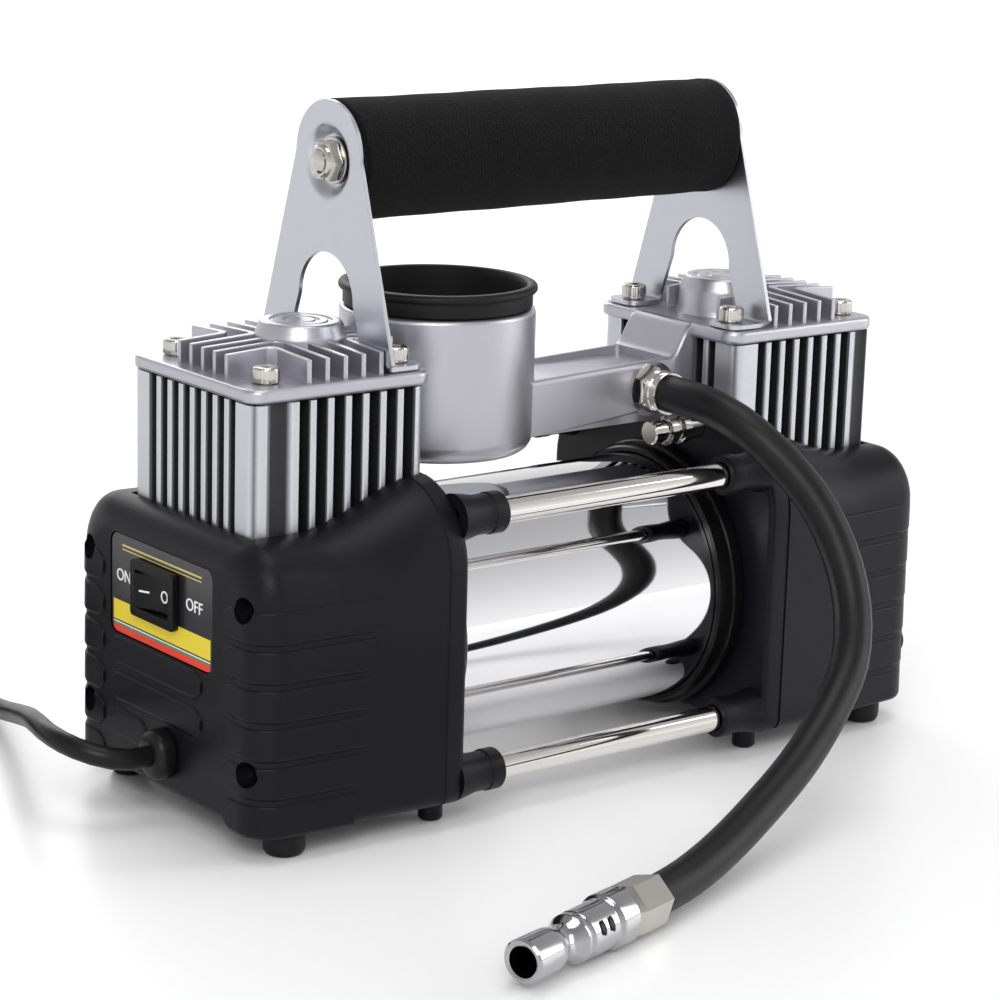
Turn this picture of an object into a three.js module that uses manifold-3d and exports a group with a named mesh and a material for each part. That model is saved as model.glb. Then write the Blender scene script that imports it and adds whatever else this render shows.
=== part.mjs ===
// Twin-cylinder 12 V car tyre compressor.
// Millimetres, +Z up, the long axis on X, the hose side facing -Y.
// The origin is on the floor, under the middle of the machine.
import * as THREE from 'three';
import { mergeVertices } from 'three/addons/utils/BufferGeometryUtils.js';
import Module from 'manifold-3d';

const wasm = await Module();
wasm.setup();

// ---- Driving dimensions -------------------------------------------------

const clear = 0.3; // gap between separate pieces that meet

const housing = {
  inner: 51.5, // |X| of the flat face towards the motor
  split: 58.3, // |X| of the parting line between cover and end housing
  outer: 112.8, // |X| of the end face
  halfWidth: 47.5,
  endHalfWidth: 43.9,
  bottom: 6.3,
  topInner: 90.2,
  topOuter: 79.6,
  shoulder: 22,
  endShoulder: 12,
  endRound: 8,
  wall: 2.6,
};

const foot = { x: 100, innerX: 59.5, y: 37, radius: 5.4, height: 6 };

const head = {
  x: 77.9, // cylinder centre line
  halfX: 27.6,
  halfY: 29.2,
  corner: 5,
  bottom: 113,
  top: 116.6,
  finTop: 123.4,
  finPitch: 5.45,
  finThick: 1.3,
  finShift: 1.6, // the fins' pattern stands this far along +X
  hubX: 6, // the hub stands this far towards the middle of the machine
  hubRadius: 12,
  hubTopRadius: 10.4,
  hubTop: 127,
  screwX: 20.8,
  screwY: 20.8,
  leftOuterScrewX: 18.2,
};

const block = {
  x: 78.5, // centre of the finned outline
  halfX: 26.1,
  halfY: 28.3,
  bottom: 74,
  top: 112.7,
  corner: 3.2,
  grooveDepth: 6,
  groovePitch: 5.3,
  grooveShift: { left: 4.5, right: 0.6 },
  bore: 15,
  seat: 111.5, // floor of the valve plate's pocket
  seatRadius: 18.8,
};

const motor = { z: 43, radius: 35, wall: 1.8, half: 46.6, bellRadius: 38 };

const crank = { throwRadius: 7, pin: 3.6 };

const cup = { x: -23.6, y: 6.5, radius: 26.3, wall: 2.2, bottom: 87, top: 125.6, floor: 3 };

const duct = { halfWidth: 12.5, low: 92.1, high: 107.6 };

const outlet = { x: 37, z: 99.6, nutFlats: 11.5 };

const bracket = { x: 63.2, thick: 1.2, topRadius: 14.2, topZ: 168.4, z: 167, legBottom: 116.9, dish: 2.6 };

const grip = { half: 62.7, radius: 15.7, bore: 6.4 };

const rods = [
  { name: 'front_upper_tie_tube', y: -40.8, z: 80.8 },
  { name: 'rear_upper_tie_tube', y: 40.8, z: 80.8 },
  { name: 'front_lower_tie_tube', y: -42.2, z: 12.4 },
  { name: 'rear_lower_tie_tube', y: 42.2, z: 12.4 },
];
const tieRadius = 3.5;
const tieHalf = 37.7;
const bossEnd = 38;
const bossRadius = 5.5;

const panel = { y: 1.2, z: 58, width: 48.4, height: 26.4, depth: 1.6 };
const rocker = { y: 2.8, z: 59.4, width: 15.0, height: 9.2, pivotX: -112.4, tilt: 11 };

const hoseRadius = 5.1;
const cableRadius = 2.8;
const coil = { x: -147, y: 160, inner: 24.5, outer: 42.6, height: 28.6 };

// ---- Looks --------------------------------------------------------------

const looks = {
  charcoal: [0x1d1d20, 0.62, 0],
  castAluminium: [0xb9bbc0, 0.42, 0.85],
  brightAluminium: [0xd2d4d8, 0.3, 0.95],
  mirrorChrome: [0xe6e7ea, 0.06, 1],
  nickel: [0xc9c5bb, 0.18, 1],
  steel: [0x9a9da1, 0.35, 1],
  blackRubber: [0x151516, 0.75, 0],
  foam: [0x101012, 0.95, 0],
  blackPlastic: [0x141416, 0.4, 0],
  label: [0x1a1a1c, 0.45, 0],
  copper: [0x9c5a32, 0.45, 0.8],
  ferrite: [0x3a3a3d, 0.7, 0.1],
  brass: [0xb49a5a, 0.35, 0.9],
  glass: [0xdfe6ea, 0.05, 0],
  white: [0xe9e9e4, 0.5, 0],
  red: [0xb3261e, 0.45, 0],
  seal: [0x6b4a2b, 0.6, 0],
};

// ---- Helpers ------------------------------------------------------------

const root = new THREE.Group();
const tau = Math.PI * 2;

function weld(geometry) {
  const bare = geometry.clone();
  bare.deleteAttribute('normal');
  bare.deleteAttribute('uv');
  const merged = mergeVertices(bare, 1e-4);
  const position = merged.attributes.position;
  const old = merged.index.array;
  const index = [];
  let volume = 0;
  const a = new THREE.Vector3();
  const b = new THREE.Vector3();
  const c = new THREE.Vector3();
  for (let i = 0; i < old.length; i += 3) {
    const [p, q, r] = [old[i], old[i + 1], old[i + 2]];
    if (p === q || q === r || r === p) continue;
    index.push(p, q, r);
    a.fromBufferAttribute(position, p);
    b.fromBufferAttribute(position, q);
    c.fromBufferAttribute(position, r);
    volume += a.dot(b.cross(c));
  }
  if (volume < 0) {
    for (let i = 0; i < index.length; i += 3) {
      [index[i], index[i + 1]] = [index[i + 1], index[i]];
    }
  }
  merged.setIndex(index);
  return merged;
}

function solid(geometry) {
  const welded = weld(geometry);
  return new wasm.Manifold(new wasm.Mesh({
    numProp: 3,
    vertProperties: new Float32Array(welded.attributes.position.array),
    triVerts: new Uint32Array(welded.index.array),
  }));
}

function surface(body) {
  const mesh = body.getMesh();
  const points = new Float32Array((mesh.vertProperties.length / mesh.numProp) * 3);
  for (let i = 0; i < points.length / 3; i += 1) {
    for (let k = 0; k < 3; k += 1) {
      points[3 * i + k] = mesh.vertProperties[mesh.numProp * i + k];
    }
  }
  const geometry = new THREE.BufferGeometry();
  geometry.setAttribute('position', new THREE.BufferAttribute(points, 3));
  geometry.setIndex(Array.from(mesh.triVerts));
  return geometry;
}

function part(name, shape, look) {
  const geometry = shape.isBufferGeometry ? weld(shape) : surface(shape);
  geometry.computeVertexNormals();
  const [color, roughness, metalness] = looks[look];
  const material = new THREE.MeshStandardMaterial({ color, roughness, metalness });
  const mesh = new THREE.Mesh(geometry, material);
  mesh.name = name;
  root.add(mesh);
  return mesh;
}

// Turns a geometry made along local Z so that local Z lies on the named axis.
function along(geometry, axis) {
  const turn = new THREE.Matrix4();
  if (axis === 'x') turn.makeBasis(v3(0, 1, 0), v3(0, 0, 1), v3(1, 0, 0));
  if (axis === 'y') turn.makeBasis(v3(0, 0, 1), v3(1, 0, 0), v3(0, 1, 0));
  return geometry.applyMatrix4(turn);
}

function v3(x, y, z) {
  return new THREE.Vector3(x, y, z);
}

// A straight prism. Its outline is in (Y, Z) on axis x, (Z, X) on axis y, (X, Y) on axis z.
function prism(points, axis, from, to) {
  const shape = new THREE.Shape(points.map(([x, y]) => new THREE.Vector2(x, y)));
  const options = { depth: to - from, bevelEnabled: false, steps: 1 };
  const geometry = new THREE.ExtrudeGeometry(shape, options);
  geometry.translate(0, 0, from);
  return along(geometry, axis);
}

function box(x0, x1, y0, y1, z0, z1) {
  const geometry = new THREE.BoxGeometry(x1 - x0, y1 - y0, z1 - z0);
  geometry.translate((x0 + x1) / 2, (y0 + y1) / 2, (z0 + z1) / 2);
  return geometry;
}

// A turned piece: the profile is [radius, distance along the axis].
function turned(profile, axis, sides, x = 0, y = 0, z = 0) {
  const points = profile.map(([r, h]) => new THREE.Vector2(r, h));
  const first = profile[0];
  const last = profile[profile.length - 1];
  if (first[0] !== 0 || last[0] !== 0) points.push(new THREE.Vector2(first[0], first[1]));
  const geometry = new THREE.LatheGeometry(points, sides);
  geometry.rotateX(Math.PI / 2);
  return along(geometry, axis).translate(x, y, z);
}

function rod(radius, axis, from, to, sides, x = 0, y = 0, z = 0) {
  return turned([[0, from], [radius, from], [radius, to], [0, to]], axis, sides, x, y, z);
}

function ring(inner, outer, axis, from, to, sides, x = 0, y = 0, z = 0) {
  const profile = [[inner, from], [outer, from], [outer, to], [inner, to]];
  return turned(profile, axis, sides, x, y, z);
}

function roundedBox(halfX, halfY, corner, steps) {
  const points = [];
  const centres = [[1, 1, 0], [-1, 1, 1], [-1, -1, 2], [1, -1, 3]];
  for (const [sx, sy, quarter] of centres) {
    for (let i = 0; i <= steps; i += 1) {
      const angle = (Math.PI / 2) * (quarter + i / steps);
      points.push([
        sx * (halfX - corner) + corner * Math.cos(angle),
        sy * (halfY - corner) + corner * Math.sin(angle),
      ]);
    }
  }
  return points;
}

function shifted(points, dx, dy) {
  return points.map(([x, y]) => [x + dx, y + dy]);
}

function hexagon(flats, turn = 0) {
  const radius = flats / Math.sqrt(3);
  const points = [];
  for (let i = 0; i < 6; i += 1) {
    const angle = (i * tau) / 6 + turn;
    points.push([radius * Math.cos(angle), radius * Math.sin(angle)]);
  }
  return points;
}

// A closed skin through a list of equal outlines, each a list of points in space.
function loft(outlines) {
  const count = outlines[0].length;
  const points = [];
  const index = [];
  for (const outline of outlines) {
    for (const point of outline) points.push(...point);
  }
  for (let i = 0; i + 1 < outlines.length; i += 1) {
    for (let k = 0; k < count; k += 1) {
      const next = (k + 1) % count;
      const a = i * count + k;
      const b = i * count + next;
      const c = (i + 1) * count + next;
      const d = (i + 1) * count + k;
      index.push(a, b, c, a, c, d);
    }
  }
  const ends = [0, outlines.length - 1];
  for (const end of ends) {
    const middle = points.length / 3;
    const sum = [0, 0, 0];
    for (const point of outlines[end]) point.forEach((value, k) => { sum[k] += value / count; });
    points.push(...sum);
    for (let k = 0; k < count; k += 1) {
      const a = end * count + k;
      const b = end * count + ((k + 1) % count);
      if (end === 0) index.push(middle, b, a);
      else index.push(middle, a, b);
    }
  }
  const geometry = new THREE.BufferGeometry();
  geometry.setAttribute('position', new THREE.BufferAttribute(new Float32Array(points), 3));
  geometry.setIndex(index);
  return geometry;
}

function tube(points, radius, sides, steps) {
  const path = new THREE.CatmullRomCurve3(points.map((p) => v3(...p)), false, 'centripetal');
  const shape = new THREE.Shape();
  for (let i = 0; i < sides; i += 1) {
    const angle = (i * tau) / sides;
    if (i === 0) shape.moveTo(radius, 0);
    else shape.lineTo(radius * Math.cos(angle), radius * Math.sin(angle));
  }
  return new THREE.ExtrudeGeometry(shape, { steps, extrudePath: path, bevelEnabled: false });
}

function smooth(low, high, value) {
  const t = Math.min(1, Math.max(0, (value - low) / (high - low)));
  return t * t * (3 - 2 * t);
}

// ---- End housings and their inner covers --------------------------------

// One cross-section of the housing at distance s from the middle, inset by a wall.
function housingSection(side, s, inset) {
  const run = Math.max(0, (s - housing.split) / (housing.outer - housing.split));
  const taper = (housing.halfWidth - housing.endHalfWidth) * run;
  const top = housing.topInner - (housing.topInner - housing.topOuter) * smooth(55, 92, s);
  const past = Math.max(0, s - (housing.outer - inset - housing.endRound));
  const round = housing.endRound - Math.sqrt(Math.max(0, housing.endRound ** 2 - past ** 2));
  const half = housing.halfWidth - taper - inset - round;
  const high = top - inset - round;
  const low = housing.bottom + inset + round * 0.5;
  const shoulder = housing.shoulder + (housing.endShoulder - housing.shoulder) * run - inset;
  const heel = Math.max(1, 4 - inset);
  const points = [];
  const corner = (cy, cz, r, from, steps) => {
    for (let i = 0; i <= steps; i += 1) {
      const angle = from + (Math.PI / 2) * (i / steps);
      points.push([side * s, cy + r * Math.cos(angle), cz + r * Math.sin(angle)]);
    }
  };
  corner(half - shoulder, high - shoulder, shoulder, 0, 4);
  corner(-half + shoulder, high - shoulder, shoulder, Math.PI / 2, 4);
  corner(-half + heel, low + heel, heel, Math.PI, 2);
  corner(half - heel, low + heel, heel, 1.5 * Math.PI, 2);
  return points;
}

function housingBody(side, from, to, inset, stations) {
  const list = [from, ...stations.filter((s) => s > from && s < to), to];
  return solid(loft(list.map((s) => housingSection(side, s, inset))));
}

const stations = [66, 74, 83, 92, 104.8, 108.8, 111.4];

function blockNotch(side) {
  const x0 = block.x - block.halfX - 0.4;
  const x1 = block.x + block.halfX + 0.4;
  const half = block.halfY + 0.4;
  const [a, b] = side > 0 ? [x0, x1] : [-x1, -x0];
  return solid(box(a, b, -half, half, block.bottom - 0.4, 100));
}

function endHousing(side) {
  const { split, outer, wall } = housing;
  let body = housingBody(side, split, outer, 0, stations);
  const innerStations = [70, 88, 102.2, 107];
  body = body.subtract(housingBody(side, split - 1, outer - wall, wall, innerStations));
  body = body.subtract(blockNotch(side));
  if (side < 0) {
    const { y, z, width, height, depth } = panel;
    const outline = shifted(roundedBox(width / 2 + 0.3, height / 2 + 0.3, 3, 2), y, z);
    const pocket = [];
    for (const [py, pz] of outline) pocket.push([py, pz]);
    body = body.subtract(solid(prism(pocket, 'x', -outer - 1, -outer + depth)));
    const hole = shifted(roundedBox(9.4, 6.6, 1, 1), rocker.y, rocker.z);
    body = body.subtract(solid(prism(hole, 'x', -outer - 1, -outer + 6)));
    const lead = rod(4.6, 'x', -outer - 1, -outer + 6, 14, 0, -1.8, 18.6);
    body = body.subtract(solid(lead));
  }
  return body;
}

function innerCover(side) {
  const { inner, split, wall } = housing;
  const face = split - clear;
  let body = housingBody(side, inner, face, 0, []);
  body = body.subtract(housingBody(side, inner + 3, face + 1, wall, []));
  for (const tie of rods) {
    const [a, b] = side > 0 ? [bossEnd, inner + 1] : [-inner - 1, -bossEnd];
    body = body.add(solid(rod(bossRadius, 'x', a, b, 10, 0, tie.y, tie.z)));
  }
  for (const y of [-foot.y, foot.y]) {
    const x = side * (face - 3.4);
    body = body.add(solid(rod(3.2, 'z', 0.3, housing.bottom + 2, 10, x, y, 0)));
  }
  const shaftHole = rod(11, 'x', -70, 70, 24, 0, 0, motor.z);
  body = body.subtract(solid(shaftHole));
  return body.subtract(blockNotch(side));
}

part('left_end_housing', endHousing(-1), 'charcoal');
part('right_end_housing', endHousing(1), 'charcoal');
part('left_inner_cover', innerCover(-1), 'charcoal');
part('right_inner_cover', innerCover(1), 'charcoal');

const footSpots = [
  ['left_front_foot', -foot.x, -foot.y],
  ['left_rear_foot', -foot.x, foot.y],
  ['right_front_foot', foot.x, -foot.y],
  ['right_rear_foot', foot.x, foot.y],
];
for (const [name, x, y] of footSpots) {
  const profile = [[0, 0], [foot.radius - 1, 0], [foot.radius, 1.2], [foot.radius, foot.height]];
  profile.push([0, foot.height]);
  part(name, turned(profile, 'z', 12, x, y, 0), 'blackRubber');
}

for (const tie of rods) {
  const shape = ring(2.2, tieRadius, 'x', -tieHalf, tieHalf, 12, 0, tie.y, tie.z);
  part(tie.name, shape, 'mirrorChrome');
}

// ---- Switch panel, rocker switch and lead grommet -----------------------

{
  const { outer } = housing;
  const faceX = -outer + panel.depth - clear;
  const outline = shifted(roundedBox(panel.width / 2, panel.height / 2, 2.8, 2), panel.y, panel.z);
  let plate = solid(prism(outline, 'x', faceX - 1, faceX));
  const gap = shifted(roundedBox(9.4, 6.6, 1, 1), rocker.y, rocker.z);
  plate = plate.subtract(solid(prism(gap, 'x', faceX - 3, faceX + 3)));
  part('switch_panel', plate, 'label');

  const plateX = faceX - 1;
  const flange = shifted(roundedBox(10.3, 7.4, 1.2, 2), rocker.y, rocker.z);
  const neck = shifted(roundedBox(9.0, 6.2, 0.8, 1), rocker.y, rocker.z);
  let bezel = solid(prism(flange, 'x', plateX - clear - 1.8, plateX - clear));
  bezel = bezel.add(solid(prism(neck, 'x', plateX - clear - 0.5, plateX + 15)));
  const well = shifted(roundedBox(7.9, 4.95, 0.3, 1), rocker.y, rocker.z);
  bezel = bezel.subtract(solid(prism(well, 'x', plateX - 5, plateX + 6.4)));
  part('switch_bezel', bezel, 'blackPlastic');

  // The rocker's section in (outwards, along Y), tilted to its off position.
  const half = rocker.width / 2 - 0.2;
  const section = [[-1.2, -half], [1.9, -half], [0.5, 0], [1.9, half], [-1.2, half], [-4, 3], [-4, -3]];
  const shape = new THREE.Shape(section.map(([h, s]) => new THREE.Vector2(-h, s)));
  const button = new THREE.ExtrudeGeometry(shape, { depth: rocker.height, bevelEnabled: false });
  button.translate(0, 0, -rocker.height / 2);
  button.rotateZ((rocker.tilt * Math.PI) / 180);
  button.translate(rocker.pivotX, rocker.y, rocker.z);
  part('rocker_button', button, 'blackPlastic');
}

{
  const x = -housing.outer;
  const oval = shifted(roundedBox(5.9, 6.6, 5.8, 4), -1.8, 18.6);
  let grommet = solid(prism(oval, 'x', x - 5.6, x - clear));
  grommet = grommet.add(solid(rod(4.2, 'x', x - 2, x + 5, 12, 0, -1.8, 18.6)));
  grommet = grommet.subtract(solid(rod(1.6, 'x', x + 2, x + 8, 8, 0, -1.8, 18.6)));
  part('cable_grommet', grommet, 'blackRubber');
}

// ---- Motor --------------------------------------------------------------

part('motor_can', ring(motor.radius - motor.wall, motor.radius, 'x', -motor.half, motor.half, 36,
  0, 0, motor.z), 'mirrorChrome');

function endBell(side) {
  const profile = [
    [4.3, 45], [9, 45], [9, 47.2], [34.6, 47.2], [34.6, 46.9], [35.35, 46.9], [35.35, 43.2], [36.8, 43.2],
    [36.8, 47.6], [motor.bellRadius, 47.6], [motor.bellRadius, 51.2], [4.3, 51.2],
  ];
  const sided = profile.map(([r, h]) => [r, side * h]);
  return turned(sided, 'x', 28, 0, 0, motor.z);
}
part('left_end_bell', endBell(-1), 'blackPlastic');
part('right_end_bell', endBell(1), 'blackPlastic');

function magnet(turn) {
  const points = [];
  const spread = 1.05;
  for (let i = 0; i <= 8; i += 1) {
    const angle = turn - spread + (2 * spread * i) / 8;
    points.push([32.6 * Math.cos(angle), 32.6 * Math.sin(angle)]);
  }
  for (let i = 8; i >= 0; i -= 1) {
    const angle = turn - spread + (2 * spread * i) / 8;
    points.push([27 * Math.cos(angle), 27 * Math.sin(angle)]);
  }
  return prism(shifted(points, 0, motor.z), 'x', -30, 30);
}
part('upper_magnet', magnet(Math.PI / 2), 'ferrite');
part('lower_magnet', magnet(-Math.PI / 2), 'ferrite');

{
  const slots = 10;
  const points = [];
  for (let i = 0; i < slots; i += 1) {
    const steps = [[-0.38, 26], [0, 26.2], [0.38, 26], [0.46, 13], [0.54, 13]];
    for (const [offset, radius] of steps) {
      const angle = ((i + offset) * tau) / slots;
      points.push([radius * Math.cos(angle), radius * Math.sin(angle)]);
    }
  }
  let core = solid(prism(shifted(points, 0, motor.z), 'x', -25, 25));
  core = core.add(solid(rod(9.5, 'x', 24, 40, 20, 0, 0, motor.z)));
  core = core.subtract(solid(rod(4.4, 'x', -50, 50, 16, 0, 0, motor.z)));
  part('armature', core, 'copper');
}
part('motor_shaft', rod(4, 'x', -66.6, 66.6, 16, 0, 0, motor.z), 'steel');

// ---- Cranks, pistons and their seals ------------------------------------

// The left pin is at the top of its circle and the right one at the bottom.
function crankDisc(side, up) {
  const [a, b] = side > 0 ? [67, 72.2] : [-72.2, -67];
  const points = [];
  for (let i = 0; i <= 10; i += 1) {
    const angle = Math.PI * (i / 10);
    points.push([12 * Math.cos(angle), 12 * Math.sin(angle)]);
  }
  for (let i = 0; i <= 10; i += 1) {
    const angle = Math.PI * (1 + i / 10);
    points.push([19 * Math.cos(angle), 19 * Math.sin(angle)]);
  }
  const oriented = points.map(([y, z]) => [y, motor.z + up * z]);
  let disc = solid(prism(oriented, 'x', a, b));
  const pinZ = motor.z + up * crank.throwRadius;
  const [c, d] = side > 0 ? [71, 73.5] : [-73.5, -71];
  disc = disc.add(solid(rod(crank.pin, 'x', c, d, 14, 0, 0, pinZ)));
  return disc;
}
part('left_crank', crankDisc(-1, 1), 'steel');
part('right_crank', crankDisc(1, -1), 'steel');

function piston(side, up) {
  const x = side * head.x;
  const pinZ = motor.z + up * crank.throwRadius;
  const crown = pinZ + 59.8;
  const bigEnd = ring(5, 9.2, 'x', x - 4, x + 4, 20, 0, 0, pinZ);
  const web = box(x - 3, x + 3, -4.2, 4.2, pinZ + 7.5, crown - 8.6);
  const profile = [
    [0, crown - 9], [13.4, crown - 9], [13.4, crown - 7.2], [11.6, crown - 7.2],
    [11.6, crown - 1.4], [13.8, crown - 1.4], [13.8, crown], [0, crown],
  ];
  const top = turned(profile, 'z', 20, x, 0, 0);
  return solid(bigEnd).add(solid(web)).add(solid(top));
}

function pistonSeal(side, up) {
  const x = side * head.x;
  const crown = motor.z + up * crank.throwRadius + 59.8;
  const profile = [
    [11.9, crown - 6.9], [14.2, crown - 6.9], [14.75, crown - 1.7], [11.9, crown - 1.7],
  ];
  return turned(profile, 'z', 20, x, 0, 0);
}
part('left_piston', piston(-1, 1), 'castAluminium');
part('right_piston', piston(1, -1), 'castAluminium');
part('left_piston_seal', pistonSeal(-1, 1), 'seal');
part('right_piston_seal', pistonSeal(1, -1), 'seal');

// ---- Finned cylinder blocks, valve plates and heads ---------------------

function screwSpots(side) {
  const spots = [];
  for (const sx of [-1, 1]) {
    for (const sy of [-1, 1]) {
      const across = side < 0 && sx < 0 ? head.leftOuterScrewX : head.screwX;
      spots.push([side * head.x + sx * across, sy * head.screwY, sx * side < 0]);
    }
  }
  return spots;
}

function cylinderBlock(side) {
  const x = side * block.x;
  const outline = shifted(roundedBox(block.halfX, block.halfY, block.corner, 4), x, 0);
  let body = solid(prism(outline, 'z', block.bottom, block.top));
  const low = block.bottom + 3;
  const high = block.top + 1;
  const middle = side * head.x + block.grooveShift[side < 0 ? 'left' : 'right'];
  for (let i = -3; i <= 3; i += 1) {
    const gx = middle + i * block.groovePitch;
    for (const sy of [-1, 1]) {
      const y0 = sy > 0 ? block.halfY - block.grooveDepth : -block.halfY - 1;
      body = body.subtract(solid(box(gx - 1.65, gx + 1.65, y0, y0 + block.grooveDepth + 1, low, high)));
    }
  }
  for (let i = -3.5; i <= 3.5; i += 1) {
    const gy = i * block.groovePitch;
    for (const sx of [-1, 1]) {
      const x0 = x + (sx > 0 ? block.halfX - block.grooveDepth : -block.halfX - 1);
      body = body.subtract(solid(box(x0, x0 + block.grooveDepth + 1, gy - 1.65, gy + 1.65, low, high)));
    }
  }
  const { bore, seat, seatRadius } = block;
  body = body.subtract(solid(rod(bore, 'z', block.bottom - 1, high, 24, side * head.x, 0, 0)));
  body = body.subtract(solid(rod(seatRadius, 'z', seat, high, 32, side * head.x, 0, 0)));
  for (const [sx, sy] of screwSpots(side)) {
    body = body.subtract(solid(rod(2.2, 'z', block.top - 9, high, 8, sx, sy, 0)));
  }
  return body;
}

function valvePlate(side) {
  const x = side * head.x;
  const radius = block.seatRadius - clear;
  let body = solid(rod(radius, 'z', block.seat + clear, head.bottom - clear, 32, x, 0, 0));
  for (const dx of [-4, 4]) {
    body = body.subtract(solid(rod(1.6, 'z', 100, 120, 8, x + dx, 0, 0)));
  }
  return body;
}

function cylinderHead(side) {
  const x = side * head.x;
  const outline = shifted(roundedBox(head.halfX, head.halfY, head.corner, 4), x, 0);
  let body = solid(prism(outline, 'z', head.bottom, head.top));
  const low = head.top - 0.5;
  const reach = 2.6;
  const t = head.finThick / 2;
  const fins = [];
  for (let i = -2; i <= 2; i += 1) {
    const at = i * head.finPitch;
    const start = Math.max(Math.abs(at) - t, 1);
    for (const s of [-1, 1]) {
      const ySpan = [s * start, s * (head.halfY - reach)].sort((a, b) => a - b);
      const fx = x + head.finShift + at;
      fins.push(box(fx - t, fx + t, ySpan[0], ySpan[1], low, head.finTop));
      if (side > 0 && s < 0) continue;
      const xSpan = [x + s * start, x + s * (head.halfX - reach)].sort((a, b) => a - b);
      fins.push(box(xSpan[0], xSpan[1], at - t, at + t, low, head.finTop));
    }
  }
  for (const fin of fins) body = body.add(solid(fin));
  const hubX = x - side * head.hubX;
  const hub = [
    [0, low], [head.hubRadius, low], [head.hubRadius, head.finTop],
    [head.hubTopRadius, head.hubTop], [0, head.hubTop],
  ];
  body = body.add(solid(turned(hub, 'z', 20, hubX, 0, 0)));
  for (const [sx, sy] of screwSpots(side)) {
    body = body.subtract(solid(rod(2.2, 'z', 100, 130, 8, sx, sy, 0)));
  }
  return body;
}

// The gauge cup and the air duct are cast in one with the right head.
function gaugeCasting() {
  let body = cylinderHead(1);
  const { halfWidth, low, high } = duct;
  const start = cup.x + 12;
  const face = block.x - block.halfX - clear;
  const outline = [
    [start, low - 1.5], [32, low - 1.5], [face, low - 1.5], [face, head.bottom - clear],
    [face + 0.2, head.bottom], [face + 0.2, head.top], [50.4, head.top], [48.6, head.top - 1.2],
    [47.4, head.top - 4], [46.2, high + 1.6], [43.6, high], [start, high],
  ];
  const turnedOutline = outline.map(([x, z]) => [z, x]);
  body = body.add(solid(prism(turnedOutline, 'y', -halfWidth, halfWidth)));
  const tray = box(cup.x + 20, 42.5, -halfWidth + 1.6, halfWidth - 1.6, high - 1.2, high + 3);
  body = body.subtract(solid(tray));
  body = body.add(solid(rod(cup.radius, 'z', cup.bottom, cup.top, 32, cup.x, cup.y, 0)));
  const bowl = rod(cup.radius - cup.wall, 'z', cup.bottom + cup.floor, 140, 28, cup.x, cup.y, 0);
  body = body.subtract(solid(bowl));
  const recess = rod(7.6, 'y', -halfWidth - 1, -halfWidth + 4, 20, outlet.x, 0, outlet.z);
  body = body.subtract(solid(recess));
  return body;
}

for (const [side, label] of [[-1, 'left'], [1, 'right']]) {
  part(`${label}_cylinder_block`, cylinderBlock(side), 'brightAluminium');
  part(`${label}_valve_plate`, valvePlate(side), 'steel');
}
part('left_cylinder_head', cylinderHead(-1), 'castAluminium');
part('right_head_casting', gaugeCasting(), 'castAluminium');

for (const [side, label] of [[-1, 'left'], [1, 'right']]) {
  for (const [x, y, inside] of screwSpots(side)) {
    const place = `${inside ? 'inner' : 'outer'}_${y < 0 ? 'front' : 'rear'}`;
    const seat = inside ? bracket.legBottom + bracket.thick + clear : head.top + clear;
    const profile = [
      [0, block.top - 8], [1.9, block.top - 8], [1.9, seat], [3.5, seat], [3.5, seat + 3.8],
      [1.6, seat + 3.8], [1.6, seat + 1.9], [0, seat + 1.9],
    ];
    part(`${label}_${place}_screw`, turned(profile, 'z', 8, x, y, 0), 'nickel');
  }
}

// ---- Pressure gauge -----------------------------------------------------

{
  const profile = [
    [0, 91], [22.6, 91], [22.6, 121], [20.6, 121], [20.6, 112.4], [1.3, 112.4], [1.3, 110],
    [0, 110],
  ];
  part('gauge_case', turned(profile, 'z', 22, cup.x, cup.y, 0), 'white');
  const blade = [[-1.1, -5], [1.1, -5], [0.35, 17.5], [-0.35, 17.5]];
  let needle = solid(prism(shifted(blade, cup.x, cup.y), 'z', 113.6, 114.3));
  needle = needle.add(solid(rod(2.4, 'z', 113.2, 115.2, 12, cup.x, cup.y, 0)));
  needle = needle.add(solid(rod(0.9, 'z', 110.4, 114, 8, cup.x, cup.y, 0)));
  const turn = 135;
  const geometry = surface(needle);
  geometry.translate(-cup.x, -cup.y, 0);
  geometry.rotateZ((turn * Math.PI) / 180);
  geometry.translate(cup.x, cup.y, 0);
  part('gauge_needle', geometry, 'red');
  part('gauge_lens', rod(20.2, 'z', 117.6, 119.2, 24, cup.x, cup.y, 0), 'glass');
  const boot = [
    [22.95, 117], [23.8, 117], [23.8, 125.9], [25.6, 125.95], [25.6, 128.4], [24.8, 128.9],
    [24.8, 129.6], [26.6, 130.1], [26.6, 131.6], [25.9, 132.2], [23.6, 132.2], [22.95, 129],
  ];
  part('gauge_boot', turned(boot, 'z', 24, cup.x, cup.y, 0), 'blackRubber');
}

// ---- Air outlet, hose and quick plug ------------------------------------

const hosePath = [
  [outlet.x, -18.3, outlet.z], [37, -25, 99.6], [37.2, -32.5, 99.4], [38.4, -40.5, 97.9],
  [40.8, -48.5, 94.2], [45.6, -58.5, 86], [49.8, -67.5, 75.6], [51.2, -76, 62.4],
  [48.6, -83.2, 50.2], [42.2, -89.4, 39.8], [31.6, -94.8, 31.4], [14.4, -101.8, 21.9],
  [-9.8, -110.3, 13.3], [-27, -116.4, 9.2], [-41, -121.2, 7.4], [-54.4, -125.6, 7.2],
];

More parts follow.
